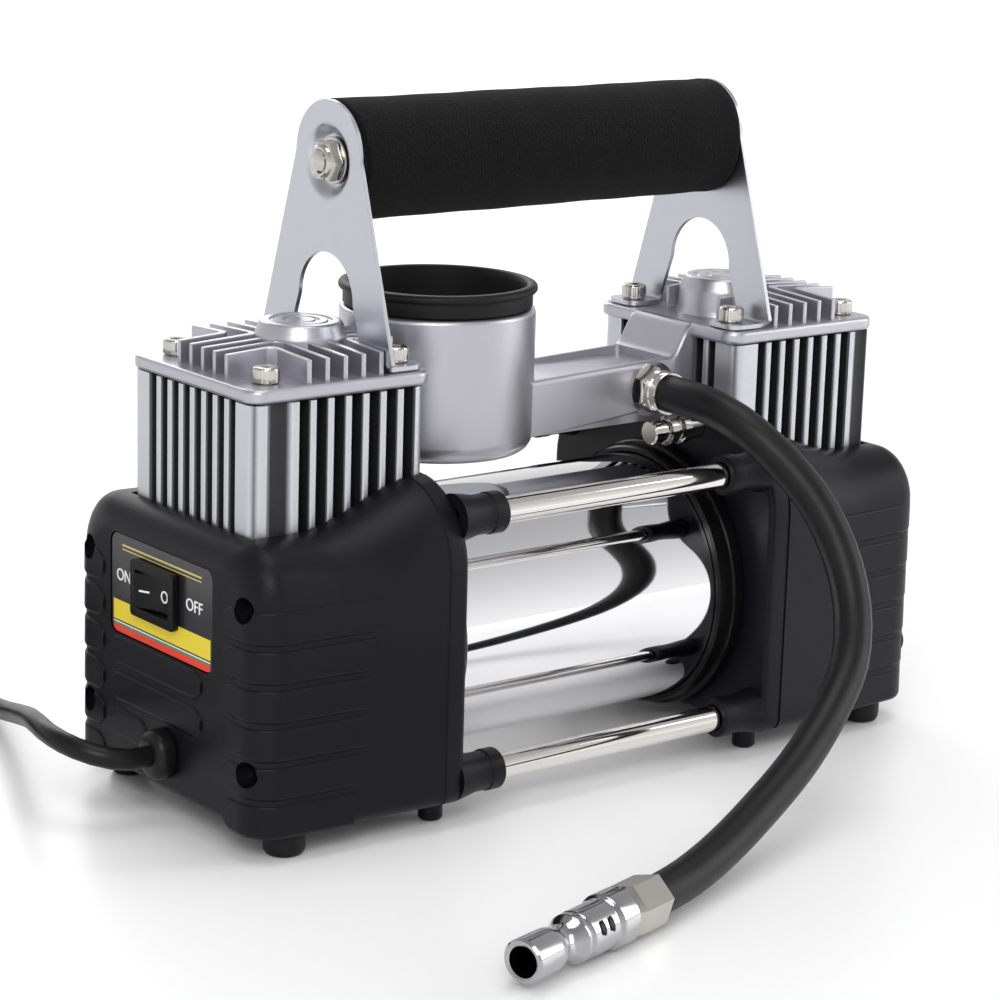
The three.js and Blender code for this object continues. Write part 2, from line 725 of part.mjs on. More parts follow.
{
  const y = -duct.halfWidth + 4;
  const flats = shifted(hexagon(outlet.nutFlats, Math.PI / 6), outlet.z, outlet.x);
  let fitting = solid(prism(flats, 'y', -14.6, y - clear));
  fitting = fitting.add(solid(rod(4.9, 'y', -17.8, -14, 16, outlet.x, 0, outlet.z)));
  fitting = fitting.subtract(solid(rod(1.8, 'y', -21, y - 2, 8, outlet.x, 0, outlet.z)));
  part('outlet_fitting', fitting, 'nickel');
}
part('air_hose', tube(hosePath, hoseRadius, 10, 24), 'blackRubber');

{
  const end = v3(...hosePath[hosePath.length - 1]);
  const toward = v3(-107.4, -140.3, 7.2);
  const heading = toward.clone().sub(end).normalize();
  const turn = new THREE.Quaternion().setFromUnitVectors(v3(0, 0, 1), heading);
  const place = (geometry, distance) => {
    geometry.applyQuaternion(turn);
    const at = end.clone().addScaledVector(heading, distance);
    return geometry.translate(at.x, at.y, at.z);
  };
  const hex = prism(hexagon(11.8), 'z', 0, 13);
  const ferrule = solid(hex).subtract(solid(rod(2.2, 'z', -1, 14, 10)));
  part('hose_ferrule', place(surface(ferrule), clear), 'nickel');
  const profile = [
    [2.2, 0], [5.4, 0], [5.4, 1.2], [6.9, 1.8], [6.9, 8], [6.2, 8.6], [6.2, 19], [6.6, 19.6],
    [6.6, 21.2], [5.6, 21.8], [4.5, 23], [4.5, 27], [5.2, 28.2], [5.6, 31], [5.6, 38.4],
    [5.2, 39], [3.6, 39], [3.6, 27], [2.2, 25],
  ];
  part('quick_plug', place(turned(profile, 'z', 16), 2 * clear + 13), 'mirrorChrome');
}

// ---- Carrying handle ----------------------------------------------------

function handleBracket(side) {
  const { x, thick, topRadius, topZ, z, legBottom, dish } = bracket;
  const points = [];
  const flare = 0.311;
  for (let i = 0; i <= 12; i += 1) {
    const angle = Math.PI * (i / 12);
    points.push([topRadius * Math.cos(angle), topZ + topRadius * Math.sin(angle)]);
  }
  const wide = topRadius + (topZ - legBottom) * flare;
  const cut = 12.2;
  const cutZ = 131.5;
  points.push([-wide, legBottom], [-16.6, legBottom]);
  for (let i = 0; i <= 10; i += 1) {
    const angle = Math.PI * (1 - i / 10);
    points.push([cut * Math.cos(angle), cutZ + cut * Math.sin(angle)]);
  }
  points.push([16.6, legBottom], [wide, legBottom]);
  const [a, b] = side > 0 ? [x, x + thick] : [-x - thick, -x];
  let body = solid(prism(points, 'x', a, b));
  const toe = x - 11;
  const [c, d] = side > 0 ? [toe, x + 0.5] : [-x - 0.5, -toe];
  for (const s of [-1, 1]) {
    const span = [s * 15.5, s * 27.4].sort((p, q) => p - q);
    body = body.add(solid(box(c, d, span[0], span[1], legBottom, legBottom + thick)));
    const hx = side * (head.x - head.screwX);
    body = body.subtract(solid(rod(2.3, 'z', 110, 125, 10, hx, s * head.screwY, 0)));
  }
  // The pressed dish round the bolt, which the nut and the bolt's head sit in.
  const profile = [
    [3.4, x - dish], [6.8, x - dish], [9.8, x], [9.8, x + thick], [9.2, x + thick],
    [6.2, x - dish + thick], [3.4, x - dish + thick],
  ];
  const pressed = turned(profile.map(([r, h]) => [r, side * h]), 'x', 24, 0, 0, z);
  body = body.subtract(solid(rod(9.5, 'x', a - 1, b + 1, 24, 0, 0, z)));
  return body.add(solid(pressed));
}
part('left_handle_bracket', handleBracket(-1), 'brightAluminium');
part('right_handle_bracket', handleBracket(1), 'brightAluminium');

{
  const inner = bracket.x - bracket.dish - clear;
  const out = bracket.x - bracket.dish + bracket.thick + clear;
  const profile = [
    [0, -out - 6.6], [3, -out - 6.6], [3, -inner], [6, -inner], [6, inner], [3, inner],
    [3, out], [5.6, out], [5.6, out + 3], [4.2, out + 4.2], [0, out + 4.2],
  ];
  part('handle_bolt', turned(profile, 'x', 12, 0, 0, bracket.z), 'steel');
  const flats = shifted(hexagon(9.8), 0, bracket.z);
  let nut = solid(prism(flats, 'x', -out - 5, -out));
  nut = nut.subtract(solid(rod(3.3, 'x', -out - 6, -out + 1, 16, 0, 0, bracket.z)));
  part('handle_lock_nut', nut, 'nickel');
  const { half, radius, bore } = grip;
  const foam = [
    [bore, -half + 3], [10.4, -half + 3], [10.4, -half], [radius - 1, -half],
    [radius, -half + 1], [radius, half - 1], [radius - 1, half], [10.4, half],
    [10.4, half - 3], [bore, half - 3],
  ];
  part('foam_grip', turned(foam, 'x', 20, 0, 0, bracket.z), 'foam');
}

// ---- Power lead, its stored coil and the accessory plug ------------------

const cablePath = [
  [-118.8, -1.8, 18.6], [-124, -2, 18.8], [-130.5, 0, 20.2], [-135.5, 6.5, 22],
  [-136.5, 15.5, 22.8], [-133.5, 27, 21.8], [-127, 43, 18], [-119, 64, 12], [-112.5, 86, 6.3],
  [-109, 105, 3.3], [-107.7, 122, 2.9], [-107.6, 137.6, 2.9],
];
part('power_cable', tube(cablePath, cableRadius, 8, 26), 'blackRubber');
part('cable_coil', ring(coil.inner, coil.outer, 'z', 0.1, coil.height, 28, coil.x, coil.y, 0),
  'blackRubber');

{
  const x = coil.x - 39.4;
  const y = coil.y - 23.6;
  const z = 11.2;
  const profile = [
    [0, 0], [3.4, 0], [4.6, -14], [5.4, -18], [10, -20], [11, -23], [11, -40], [10.3, -42],
    [10.3, -58], [8.2, -60.5], [6.4, -61], [6.4, -66], [4.3, -66], [4.3, -52], [0, -52],
  ];
  part('accessory_plug', turned(profile, 'y', 18, x, y, z), 'blackPlastic');
  const pin = [
    [0, -57.2], [3.8, -57.2], [3.8, -67.6], [2.6, -69.6], [1.2, -70.6], [0, -70.6],
  ];
  part('plug_tip', turned(pin, 'y', 14, x, y, z), 'nickel');
}

export default root;
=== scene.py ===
# Twin-cylinder 12 V tyre compressor: finished pieces, materials, light and camera.
# Lengths are in millimetres until a mesh is made. +X runs along the motor, -Y is the hose side.
import math

import bmesh
import bpy
from mathutils import Matrix, Vector


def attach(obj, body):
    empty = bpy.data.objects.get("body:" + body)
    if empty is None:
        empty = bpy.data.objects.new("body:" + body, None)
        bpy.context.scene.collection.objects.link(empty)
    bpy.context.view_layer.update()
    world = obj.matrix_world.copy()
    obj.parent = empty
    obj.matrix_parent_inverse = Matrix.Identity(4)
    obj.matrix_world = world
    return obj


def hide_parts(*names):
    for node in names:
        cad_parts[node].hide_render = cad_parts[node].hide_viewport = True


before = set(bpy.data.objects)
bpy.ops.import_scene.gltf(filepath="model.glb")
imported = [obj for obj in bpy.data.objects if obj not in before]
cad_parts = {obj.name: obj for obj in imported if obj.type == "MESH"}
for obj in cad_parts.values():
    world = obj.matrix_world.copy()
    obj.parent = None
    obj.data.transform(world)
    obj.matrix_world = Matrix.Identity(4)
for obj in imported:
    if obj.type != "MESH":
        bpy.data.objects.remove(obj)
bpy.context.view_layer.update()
mm = 0.001
tau = math.tau
halves = ((-1, "left"), (1, "right"))
shaftZ = 43
outletPlace = (37, 0, 99.6)
leadExit = (-1.8, 18.6)


class Wire:  # one output socket, with arithmetic
    def __init__(self, bench, socket):
        self.bench, self.socket = bench, socket

    def calc(self, operation, first, second):
        return self.bench.node("ShaderNodeMath", {"operation": operation}, {0: first, 1: second})

    def size(self):
        return self.calc("ABSOLUTE", self, None)


def operator(operation, swapped=False):
    if swapped:
        return lambda self, other: self.calc(operation, other, self)
    return lambda self, other: self.calc(operation, self, other)


for method, operation in (("__add__", "ADD"), ("__sub__", "SUBTRACT"), ("__mul__", "MULTIPLY"),
        ("__truediv__", "DIVIDE"), ("__gt__", "GREATER_THAN"), ("__lt__", "LESS_THAN"),
        ("atMost", "MINIMUM"), ("atLeast", "MAXIMUM")):
    setattr(Wire, method, operator(operation))
for method, operation in (("__radd__", "ADD"), ("__rsub__", "SUBTRACT"), ("__rmul__", "MULTIPLY")):
    setattr(Wire, method, operator(operation, True))


class Bench:  # makes the nodes of one tree
    def __init__(self, tree):
        self.tree = tree

    def node(self, kind, settings=None, values=None, out=0):
        made = self.tree.nodes.new(kind)
        for key, value in (settings or {}).items():
            if key == "stops":
                ramp = made.color_ramp
                while len(ramp.elements) < len(value):
                    ramp.elements.new(0.5)
                for element, (at, colour) in zip(ramp.elements, value):
                    element.position, element.color = at, (*colour, 1)
            else:
                setattr(made, key, value)
        for key, value in (values or {}).items():
            if isinstance(value, (list, tuple)) and value and isinstance(value[0], Wire):
                for part in value:
                    self.tree.links.new(part.socket, made.inputs[key])
            elif isinstance(value, Wire):
                self.tree.links.new(value.socket, made.inputs[key])
            elif value is not None:
                made.inputs[key].default_value = value
        return Wire(self, made.outputs[out])


class Finish:  # one material: a principled surface fed by the piece's own coordinates
    def __init__(self, name, colour, rough, metal=0.0, **uniform):
        self.material = bpy.data.materials.new(name)
        self.material.use_nodes = True
        tree = self.material.node_tree
        tree.nodes.clear()
        self.bench = Bench(tree)
        self.shader = tree.nodes.new("ShaderNodeBsdfPrincipled")
        output = tree.nodes.new("ShaderNodeOutputMaterial")
        tree.links.new(self.shader.outputs[0], output.inputs[0])
        self.tree = tree
        coords = self.bench.node("ShaderNodeTexCoord", out="Object")
        self.place = self.bench.node("ShaderNodeVectorMath", {"operation": "SCALE"},
            {0: coords, "Scale": 1000.0})
        self.set("Base Color", (*colour, 1))
        self.set("Roughness", rough)
        self.set("Metallic", metal)
        for key, value in uniform.items():
            self.set(key.replace("_", " "), value)

    def set(self, name, value):
        if isinstance(value, Wire):
            self.tree.links.new(value.socket, self.shader.inputs[name])
        else:
            self.shader.inputs[name].default_value = value

    def axes(self):
        split = self.bench.node("ShaderNodeSeparateXYZ", values={0: self.place})
        outputs = split.socket.node.outputs
        return [Wire(self.bench, outputs[k]) for k in range(3)]

    def noise(self, perMm, detail=3.0, rough=0.55, stretch=None):
        place = self.place
        if stretch:
            place = self.bench.node("ShaderNodeVectorMath", {"operation": "MULTIPLY"},
                {0: place, 1: stretch})
        return self.bench.node("ShaderNodeTexNoise", {"noise_dimensions": "3D"},
            {"Vector": place, "Scale": perMm, "Detail": detail, "Roughness": rough})

    def cells(self, perMm, feature="F1"):
        return self.bench.node("ShaderNodeTexVoronoi", {"feature": feature},
            {"Vector": self.place, "Scale": perMm})

    def mix(self, amount, first, second):
        node = self.bench.node("ShaderNodeMix", {"data_type": "RGBA"}, out=2).socket.node
        for index, value in ((0, amount), (6, first), (7, second)):
            if isinstance(value, Wire):
                self.tree.links.new(value.socket, node.inputs[index])
            else:
                node.inputs[index].default_value = (*value, 1) if index else value
        return Wire(self.bench, node.outputs[2])

    def bump(self, height, depth, strength=1.0):
        self.set("Normal", self.bench.node("ShaderNodeBump", values={"Height": height,
            "Distance": depth * mm, "Strength": strength}, out="Normal"))


def shown(name, data):
    piece = bpy.data.objects.new(name, data)
    bpy.context.scene.collection.objects.link(piece)
    return piece


def plainMesh(name, points, faces=()):
    mesh = bpy.data.meshes.new(name)
    mesh.from_pydata([[c * mm for c in p] for p in points], [], faces)
    return mesh


def newPiece(name, points, faces):
    mesh = plainMesh(name, points, faces)
    mesh.update()
    piece = shown(name, mesh)
    shaped = bmesh.new()
    shaped.from_mesh(mesh)
    bmesh.ops.remove_doubles(shaped, verts=shaped.verts, dist=1e-7)
    bmesh.ops.recalc_face_normals(shaped, faces=shaped.faces)
    shaped.to_mesh(mesh)
    shaped.free()
    return piece


def onAxis(axis, centre, u, v, h):
    x, y, z = {"x": (h, u, v), "y": (v, h, u), "z": (u, v, h)}[axis]
    return (x + centre[0], y + centre[1], z + centre[2])


# A turned piece: its profile is (radius, distance along the axis). A radius may be a rule of
# the angle, for knurls and flats.
def spun(name, profile, axis="z", centre=(0, 0, 0), sides=64):
    points, rows, faces = [], [], []
    for radius, h in profile:
        if not callable(radius) and radius < 1e-6:
            rows.append([len(points)] * sides)
            points.append(onAxis(axis, centre, 0, 0, h))
            continue
        rows.append(list(range(len(points), len(points) + sides)))
        for k in range(sides):
            angle = tau * k / sides
            r = radius(angle) if callable(radius) else radius
            points.append(onAxis(axis, centre, r * math.cos(angle), r * math.sin(angle), h))
    pole = [not callable(r) and r < 1e-6 for r in (profile[0][0], profile[-1][0])]
    following = rows[1:] if all(pole) else rows[1:] + rows[:1]
    for low, high in zip(rows, following):
        for k in range(sides):
            n = (k + 1) % sides
            face = list(dict.fromkeys((low[k], low[n], high[n], high[k])))
            if len(face) > 2:
                faces.append(face)
    return newPiece(name, points, faces)


def rod(name, radius, low, high, axis, centre, sides=32):  # a plain round cutter
    return spun(name, [(0, low), (radius, low), (radius, high), (0, high)], axis, centre, sides)


def span(side, low, high):  # the same stretch of X on either side
    return sorted((side * low, side * high))


def hexagon(flats):
    return lambda angle: flats / 2 / math.cos(angle % (tau / 6) - tau / 12)


def knurl(radius, count, depth):
    return lambda angle: radius - depth * (0.5 + 0.5 * math.cos(count * angle))


def lofted(name, rings, caps=True):
    count = len(rings[0])
    points = [p for ring in rings for p in ring]
    faces = []
    for row in range(len(rings) - 1):
        for k in range(count):
            n = (k + 1) % count
            faces.append((row * count + k, row * count + n, (row + 1) * count + n,
                (row + 1) * count + k))
    if caps:
        faces.append(tuple(range(count))[::-1])
        faces.append(tuple(range((len(rings) - 1) * count, len(rings) * count)))
    return newPiece(name, points, faces)


# A straight prism over an outline: (Y, Z) on axis x, (Z, X) on axis y, (X, Y) on axis z.
def prism(name, outline, axis, low, high):
    rings = [[onAxis(axis, (0, 0, 0), u, v, h) for u, v in outline] for h in (low, high)]
    return lofted(name, rings)


def block(name, x0, x1, y0, y1, z0, z1):
    return prism(name, [(x0, y0), (x1, y0), (x1, y1), (x0, y1)], "z", z0, z1)


def roundedBox(halfU, halfV, corner, steps=6, at=(0, 0)):
    points = []
    for quarter, (su, sv) in enumerate(((1, 1), (-1, 1), (-1, -1), (1, -1))):
        for i in range(steps + 1):
            angle = tau / 4 * (quarter + i / steps)
            points.append((at[0] + su * (halfU - corner) + corner * math.cos(angle),
                at[1] + sv * (halfV - corner) + corner * math.sin(angle)))
    return points


def settle(piece):  # the modifiers' result becomes the plain mesh
    graph = bpy.context.evaluated_depsgraph_get()
    mesh = bpy.data.meshes.new_from_object(piece.evaluated_get(graph), depsgraph=graph)
    piece.modifiers.clear()
    piece.data = mesh
    return piece


def discard(*pieces):
    for piece in pieces:
        bpy.data.objects.remove(piece)


def combine(piece, *others, mode="DIFFERENCE"):
    for other in others:
        step = piece.modifiers.new("combine", "BOOLEAN")
        step.operation, step.object, step.solver = mode, other, "EXACT"
    settle(piece)
    discard(*others)
    return piece


def joined(name, pieces):
    points, faces = [], []
    for piece in pieces:
        start = len(points)
        points.extend([c / mm for c in v.co] for v in piece.data.vertices)
        faces.extend([start + i for i in f.vertices] for f in piece.data.polygons)
    discard(*pieces)
    return shown(name, plainMesh(name, points, faces))


def moved(piece, matrix):  # the place goes into the mesh
    piece.data.transform(matrix)
    return piece


def finished(piece, look, body="base", stands=(), edge=0.0, steps=2, crease=30):
    if edge:
        bevel = piece.modifiers.new("edge", "BEVEL")
        bevel.width, bevel.segments = edge * mm, steps
        bevel.limit_method, bevel.angle_limit = "ANGLE", math.radians(30)
        bevel.use_clamp_overlap = True
        settle(piece)
    mesh = piece.data
    mesh.shade_smooth()
    mesh.set_sharp_from_angle(angle=math.radians(crease))
    weighted = piece.modifiers.new("flat", "WEIGHTED_NORMAL")
    weighted.keep_sharp = True
    settle(piece)
    piece.data.name = piece.name
    piece.data.materials.clear()
    piece.data.materials.append(looks[look].material)
    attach(piece, body)
    if stands:
        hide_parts(*stands)
    return piece


def smoothRoute(points, count):  # even points on a centripetal curve through the given ones
    ends = [2 * Vector(points[0]) - Vector(points[1]), *map(Vector, points), 2 * Vector(points[-1])
        - Vector(points[-2])]
    fine = []
    for p0, p1, p2, p3 in zip(ends, ends[1:], ends[2:], ends[3:]):
        t1 = (p1 - p0).length ** 0.5
        t2 = t1 + (p2 - p1).length ** 0.5
        t3 = t2 + (p3 - p2).length ** 0.5
        for i in range(24):
            t = t1 + (t2 - t1) * i / 24
            a1 = p0.lerp(p1, t / t1)
            a2 = p1.lerp(p2, (t - t1) / (t2 - t1))
            a3 = p2.lerp(p3, (t - t2) / (t3 - t2))
            b1 = a1.lerp(a2, t / t2)
            b2 = a2.lerp(a3, (t - t1) / (t3 - t1))
            fine.append(b1.lerp(b2, (t - t1) / (t2 - t1)))
    fine.append(ends[-2])
    runs = [0.0]
    for a, b in zip(fine, fine[1:]):
        runs.append(runs[-1] + (b - a).length)
    result, k = [], 0
    for i in range(count):
        want = runs[-1] * i / (count - 1)
        while k < len(runs) - 2 and runs[k + 1] < want:
            k += 1
        share = (want - runs[k]) / (runs[k + 1] - runs[k])
        result.append(fine[k].lerp(fine[k + 1], min(1, share)))
    return result


def cordCurve(name, route, radius):
    curve = bpy.data.curves.new(name, "CURVE")
    curve.dimensions = "3D"
    spline = curve.splines.new("POLY")
    spline.points.add(len(route) - 1)
    for point, place in zip(spline.points, route):
        point.co = (*(c * mm for c in place), 1)
    curve.bevel_depth = radius * mm
    curve.bevel_resolution = 5
    curve.use_fill_caps = True
    spline.use_smooth = True
    return shown(name, curve)


def routeLength(route):
    return sum((b - a).length for a, b in zip(route, route[1:])) * mm


view = {"azimuth": -38.07, "elevation": 13.86, "roll": 1.7, "place": (-0.49781, -0.62838, 0.26783),
    "lens": 108.53}


def setCamera():
    azimuth, elevation, roll = (math.radians(view[k]) for k in ("azimuth", "elevation", "roll"))
    back = Vector((math.sin(azimuth) * math.cos(elevation),
        -math.cos(azimuth) * math.cos(elevation), math.sin(elevation)))
    level = Vector((math.cos(azimuth), math.sin(azimuth), 0))
    upright = back.cross(level)
    right = math.cos(roll) * level + math.sin(roll) * upright
    up = -math.sin(roll) * level + math.cos(roll) * upright
    camera = shown("camera", bpy.data.cameras.new("camera"))
    camera.matrix_world = Matrix(((right.x, up.x, back.x, view["place"][0]),
        (right.y, up.y, back.y, view["place"][1]), (right.z, up.z, back.z, view["place"][2]),
        (0, 0, 0, 1)))
    camera.data.lens, camera.data.sensor_width = view["lens"], 36
    camera.data.clip_start, camera.data.clip_end = 0.02, 20
    bpy.context.scene.camera = camera


setCamera()
bpy.context.scene.view_settings.view_transform = "Standard"

studio = {
    "horizon": 1.0, "zenith": 0.42,  # brightness of the plain white surroundings
    "lamps": [  # name, place, aimed at, width, height, watts
        ("key", (-1.1, -1.3, 1.25), (0, 0, 0.08), 0.9, 0.9, 17),
        ("top", (0.1, -0.1, 1.6), (0, 0, 0.1), 1.1, 0.8, 8),
        ("side", (1.5, -0.9, 0.7), (0, 0, 0.08), 0.5, 1.2, 8),
        ("back", (0.5, 1.6, 0.9), (0, 0, 0.1), 1.2, 0.8, 8),
    ],
}


def setStudio():
    world = bpy.data.worlds.new("studio")
    bpy.context.scene.world = world
    world.use_nodes = True
    sky = Bench(world.node_tree)
    direction = sky.node("ShaderNodeTexCoord", out="Generated")
    height = sky.node("ShaderNodeSeparateXYZ", values={0: direction}, out=2)
    low, high = studio["horizon"], studio["zenith"]
    rise = (height / 0.85).atLeast(0.0).atMost(1.0)
    world.node_tree.links.new((low + rise * (high - low)).socket,
        world.node_tree.nodes["Background"].inputs[1])
    world.node_tree.nodes["Background"].inputs[0].default_value = (1, 1, 1, 1)
    for name, place, target, width, height, watts in studio["lamps"]:
        lamp = bpy.data.lights.new(name, "AREA")
        lamp.shape, lamp.size, lamp.size_y, lamp.energy = "RECTANGLE", width, height, watts
        holder = shown(name, lamp)
        holder.location = place
        aim = Vector(target) - Vector(place)
        holder.rotation_euler = aim.to_track_quat("-Z", "Y").to_euler()
    floor = block("floor", -4000, 4000, -4000, 4000, -20, 0)
    paint = Finish("floorPaper", (0.93, 0.93, 0.932), 0.35)
    paint.set("Roughness", 0.32 + paint.noise(0.02, 2) * 0.06)
    away = paint.bench.node("ShaderNodeVectorMath", {"operation": "LENGTH"}, {0: paint.place},
        out="Value")
    far = ((away - 350) / 1500).atLeast(0.0).atMost(1.0)  # the paper stays white far off
    paint.set("Emission Color", paint.mix(far, (0, 0, 0), (0.42, 0.42, 0.42)))
    paint.set("Emission Strength", 1.0)
    floor.data.materials.append(paint.material)


setStudio()
print("camera, floor and light are in place")


def mouldedPlastic(name, colour, rough, grain=0.05):
    look = Finish(name, colour, rough, Specular_IOR_Level=0.17)
    cloud = look.noise(0.06, 3)
    look.set("Roughness", rough - 0.05 + cloud * 0.1)
    dark = tuple(c * 0.85 for c in colour)
    light = tuple(c * 1.25 for c in colour)
    look.set("Base Color", look.mix(cloud, dark, light))
    look.bump(look.noise(2.4, 4, 0.6), grain)
    return look


def softRubber(name, colour, rough):
    look = Finish(name, colour, rough, Specular_IOR_Level=0.24)
    dust = look.noise(0.15, 5, 0.65)
    look.set("Roughness", rough - 0.08 + dust * 0.16)
    look.set("Base Color", look.mix(dust, colour, tuple(c * 1.6 for c in colour)))
    look.bump(look.noise(1.6, 3), 0.04)
    return look


def castMetal(name, colour, rough, metal, grain=0.03):
    look = Finish(name, colour, rough, metal)
    cloud = look.noise(0.08, 4, 0.6)
    grains = look.noise(3.0, 4, 0.7)
    look.set("Base Color", look.mix(cloud, tuple(c * 0.93 for c in colour), colour))
    look.set("Roughness", rough - 0.04 + grains * 0.08)
    look.bump(grains, grain)
    return look


def plated(name, colour, rough):
    look = Finish(name, colour, rough, 1.0)
    smear = look.noise(0.05, 4, 0.65)
    look.set("Roughness", rough + smear * 0.04)
    look.set("Base Color", look.mix(smear, tuple(c * 0.96 for c in colour), colour))
    look.bump(look.noise(0.02, 2), 0.02, 0.3)
    return look


def brushed(name, colour, rough, along):
    look = Finish(name, colour, rough, 1.0)
    lines = look.noise(1.0, 4, 0.7, stretch=along)
    look.set("Roughness", rough - 0.04 + lines * 0.1)
    look.set("Base Color", look.mix(lines, tuple(c * 0.92 for c in colour), colour))
    look.bump(lines, 0.01)
    return look


looks = {"housing": mouldedPlastic("housingPlastic", (0.0046, 0.0044, 0.0066), 0.4),
    "satinBlack": mouldedPlastic("switchPlastic", (0.0035, 0.0035, 0.004), 0.28, 0.02),
    "hose": softRubber("hoseRubber", (0.0045, 0.0045, 0.0052), 0.42),
    "lead": softRubber("leadRubber", (0.0035, 0.0035, 0.0038), 0.36),
    "foot": softRubber("footRubber", (0.003, 0.003, 0.003), 0.5),
    "cast": castMetal("satinCasting", (0.48, 0.475, 0.52), 0.34, 0.88),
    "chrome": plated("mirrorChrome", (0.90, 0.90, 0.92), 0.025), "tube": plated("polishedTube",
    (0.80, 0.78, 0.75), 0.06), "nickel": plated("nickelPlate", (0.52, 0.51, 0.47), 0.1),
    "plug": plated("platedPlug", (0.42, 0.42, 0.43), 0.12), "steel": brushed("machinedSteel",
    (0.50, 0.50, 0.52), 0.3, (0.2, 3.0, 3.0)), "bracket": brushed("bracketSheet",
    (0.55, 0.55, 0.60), 0.3, (3.0, 3.0, 0.25)), "ferrite": castMetal("ferrite",
    (0.05, 0.05, 0.055), 0.7, 0.1), "core": castMetal("windingCore", (0.35, 0.16, 0.08), 0.45,
    0.8), "sealing": mouldedPlastic("sealResin", (0.13, 0.08, 0.04), 0.5),
    "needle": mouldedPlastic("needleRed", (0.55, 0.02, 0.012), 0.35, 0.01),
    "ink": mouldedPlastic("dialInk", (0.01, 0.01, 0.012), 0.5, 0.01),
    "white": mouldedPlastic("markWhite", (0.75, 0.75, 0.74), 0.45, 0.01),}


def finnedMetal(name, centreX, halfX, halfY):  # bright fin edges, dark at the groove roots
    look = Finish(name, (0.62, 0.62, 0.65), 0.34, 0.85)
    x, y = look.axes()[:2]
    # painted shade: the fins' colour darkens, loses its metal and roughens with depth into the
    # grooves, standing in for the shade deep in the grooves
    deep = (halfX - (x - centreX).size()).atMost(halfY - y.size())
    shade = ((deep - 0.3) / 0.8).atLeast(0.0).atMost(1.0)
    grains = look.noise(2.6, 4, 0.7)
    bright = look.mix(grains, (0.50, 0.505, 0.54), (0.60, 0.605, 0.645))
    dark = look.mix(grains, (0.012, 0.012, 0.014), (0.028, 0.028, 0.031))
    look.set("Base Color", look.mix(shade, bright, dark))
    look.set("Metallic", 0.85 - shade * 0.55)
    look.set("Roughness", 0.3 + shade * 0.25 + grains * 0.06)
    look.bump(grains, 0.03)
    return look


def foamSkin():
    look = Finish("gripFoam", (0.006, 0.006, 0.007), 0.95, Specular_IOR_Level=0.08,
        Sheen_Weight=0.05, Sheen_Roughness=0.5)
    pores = look.cells(1.3)
    fine = look.noise(2.2, 5, 0.75)
    speck = (fine - 0.58).atLeast(0.0) * 5.0
    look.set("Base Color", look.mix(speck.atMost(1.0), (0.0028, 0.0028, 0.003),
        (0.03, 0.03, 0.031)))
    look.set("Roughness", 0.85 + fine * 0.15)
    look.bump(pores * 0.5 + fine, 0.28)
    return look


panel = {"y": 1.2, "z": 58.0, "width": 48.4, "height": 26.4, "depth": 1.6, "yellow": (48.1, 53.4),
    "pale": (47.3, 47.7), "red": (44.0, 46.7), "green": (46.75, 47.15),
    "rules": ((68.2, 68.7), (67.2, 67.5)), "ruleHalf": 19.0}


def labelPrint():  # stripes along the plate's lower edge and a double rule along its top
    look = Finish("labelPrint", (0.01, 0.01, 0.012), 0.3, Specular_IOR_Level=0.5, Coat_Weight=0.35,
        Coat_Roughness=0.12)
    y, z = look.axes()[1:]
    side = (y - panel["y"]).size()

    def between(value, low, high):
        return (value > low) * (value < high)
    grime = look.noise(0.3, 4)
    colour = look.mix(grime, (0.008, 0.008, 0.010), (0.016, 0.016, 0.019))
    inside = side < panel["width"] / 2 - 0.9
    for key, tint in (("yellow", (0.80, 0.62, 0.035)), ("pale", (0.72, 0.78, 0.72)),
            ("red", (0.78, 0.045, 0.02)), ("green", (0.05, 0.30, 0.16))):
        colour = look.mix(between(z, *panel[key]) * inside, colour, tint)
    upper, lower = (between(z, *rule) for rule in panel["rules"])
    colour = look.mix((upper + lower) * (side < panel["ruleHalf"]), colour, (0.62, 0.47, 0.10))
    look.set("Base Color", colour)
    look.set("Roughness", 0.26 + grime * 0.12)
    look.bump(look.noise(1.2, 2), 0.01)
    return look


def clearLens():
    look = Finish("clearLens", (0.9, 0.94, 0.96), 0.04, Specular_IOR_Level=0.6)
    smear = look.noise(0.08, 3)
    look.set("Roughness", 0.02 + smear * 0.05)
    look.set("Alpha", 0.16 + smear * 0.04)
    return look


looks["foam"], looks["label"], looks["lens"] = foamSkin(), labelPrint(), clearLens()
print("materials are mixed")


hose = {"radius": 5.1, "points": [(37, -18.3, 99.6), (37, -25, 99.6), (37.2, -32.5, 99.4),
    (38.4, -40.5, 97.9), (40.8, -48.5, 94.2), (45.6, -58.5, 86), (49.8, -67.5, 75.6),
    (51.2, -76, 62.4), (48.6, -83.2, 50.2), (42.2, -89.4, 39.8), (31.6, -94.8, 31.4),
    (14.4, -101.8, 21.9), (-9.8, -110.3, 13.3), (-27, -116.4, 9.2), (-41, -121.2, 7.4),
    (-54.4, -125.6, 7.2)], "toward": (-107.4, -140.3, 7.2)}

lead = {"radius": 2.8, "points": [
    (-118.8, -1.8, 18.6), (-124, -2, 18.8), (-130.5, 0, 20.2), (-135.5, 6.5, 22),
    (-136.5, 15.5, 22.8), (-133.5, 27, 21.8), (-127, 43, 18), (-119, 64, 12),
    (-112.5, 86, 6.3), (-109, 105, 3.3), (-107.7, 122, 2.9), (-107.6, 137.6, 2.9),
    (-107.6, 148, 2.9)],
    "coil": (-147, 160), "step": 25, "perTurn": 32,
    # slots of the winding, (radius, height), in the order they fill
    "slots": [(39.4, 2.9), (33.6, 2.9), (27.8, 2.9), (27.8, 8.6), (33.6, 8.6), (33.6, 14.3),
              (27.8, 14.3), (27.8, 20.0), (27.8, 25.7), (33.6, 25.7), (33.6, 20.0),
              (39.4, 20.0), (39.4, 14.3), (39.4, 8.6)]}


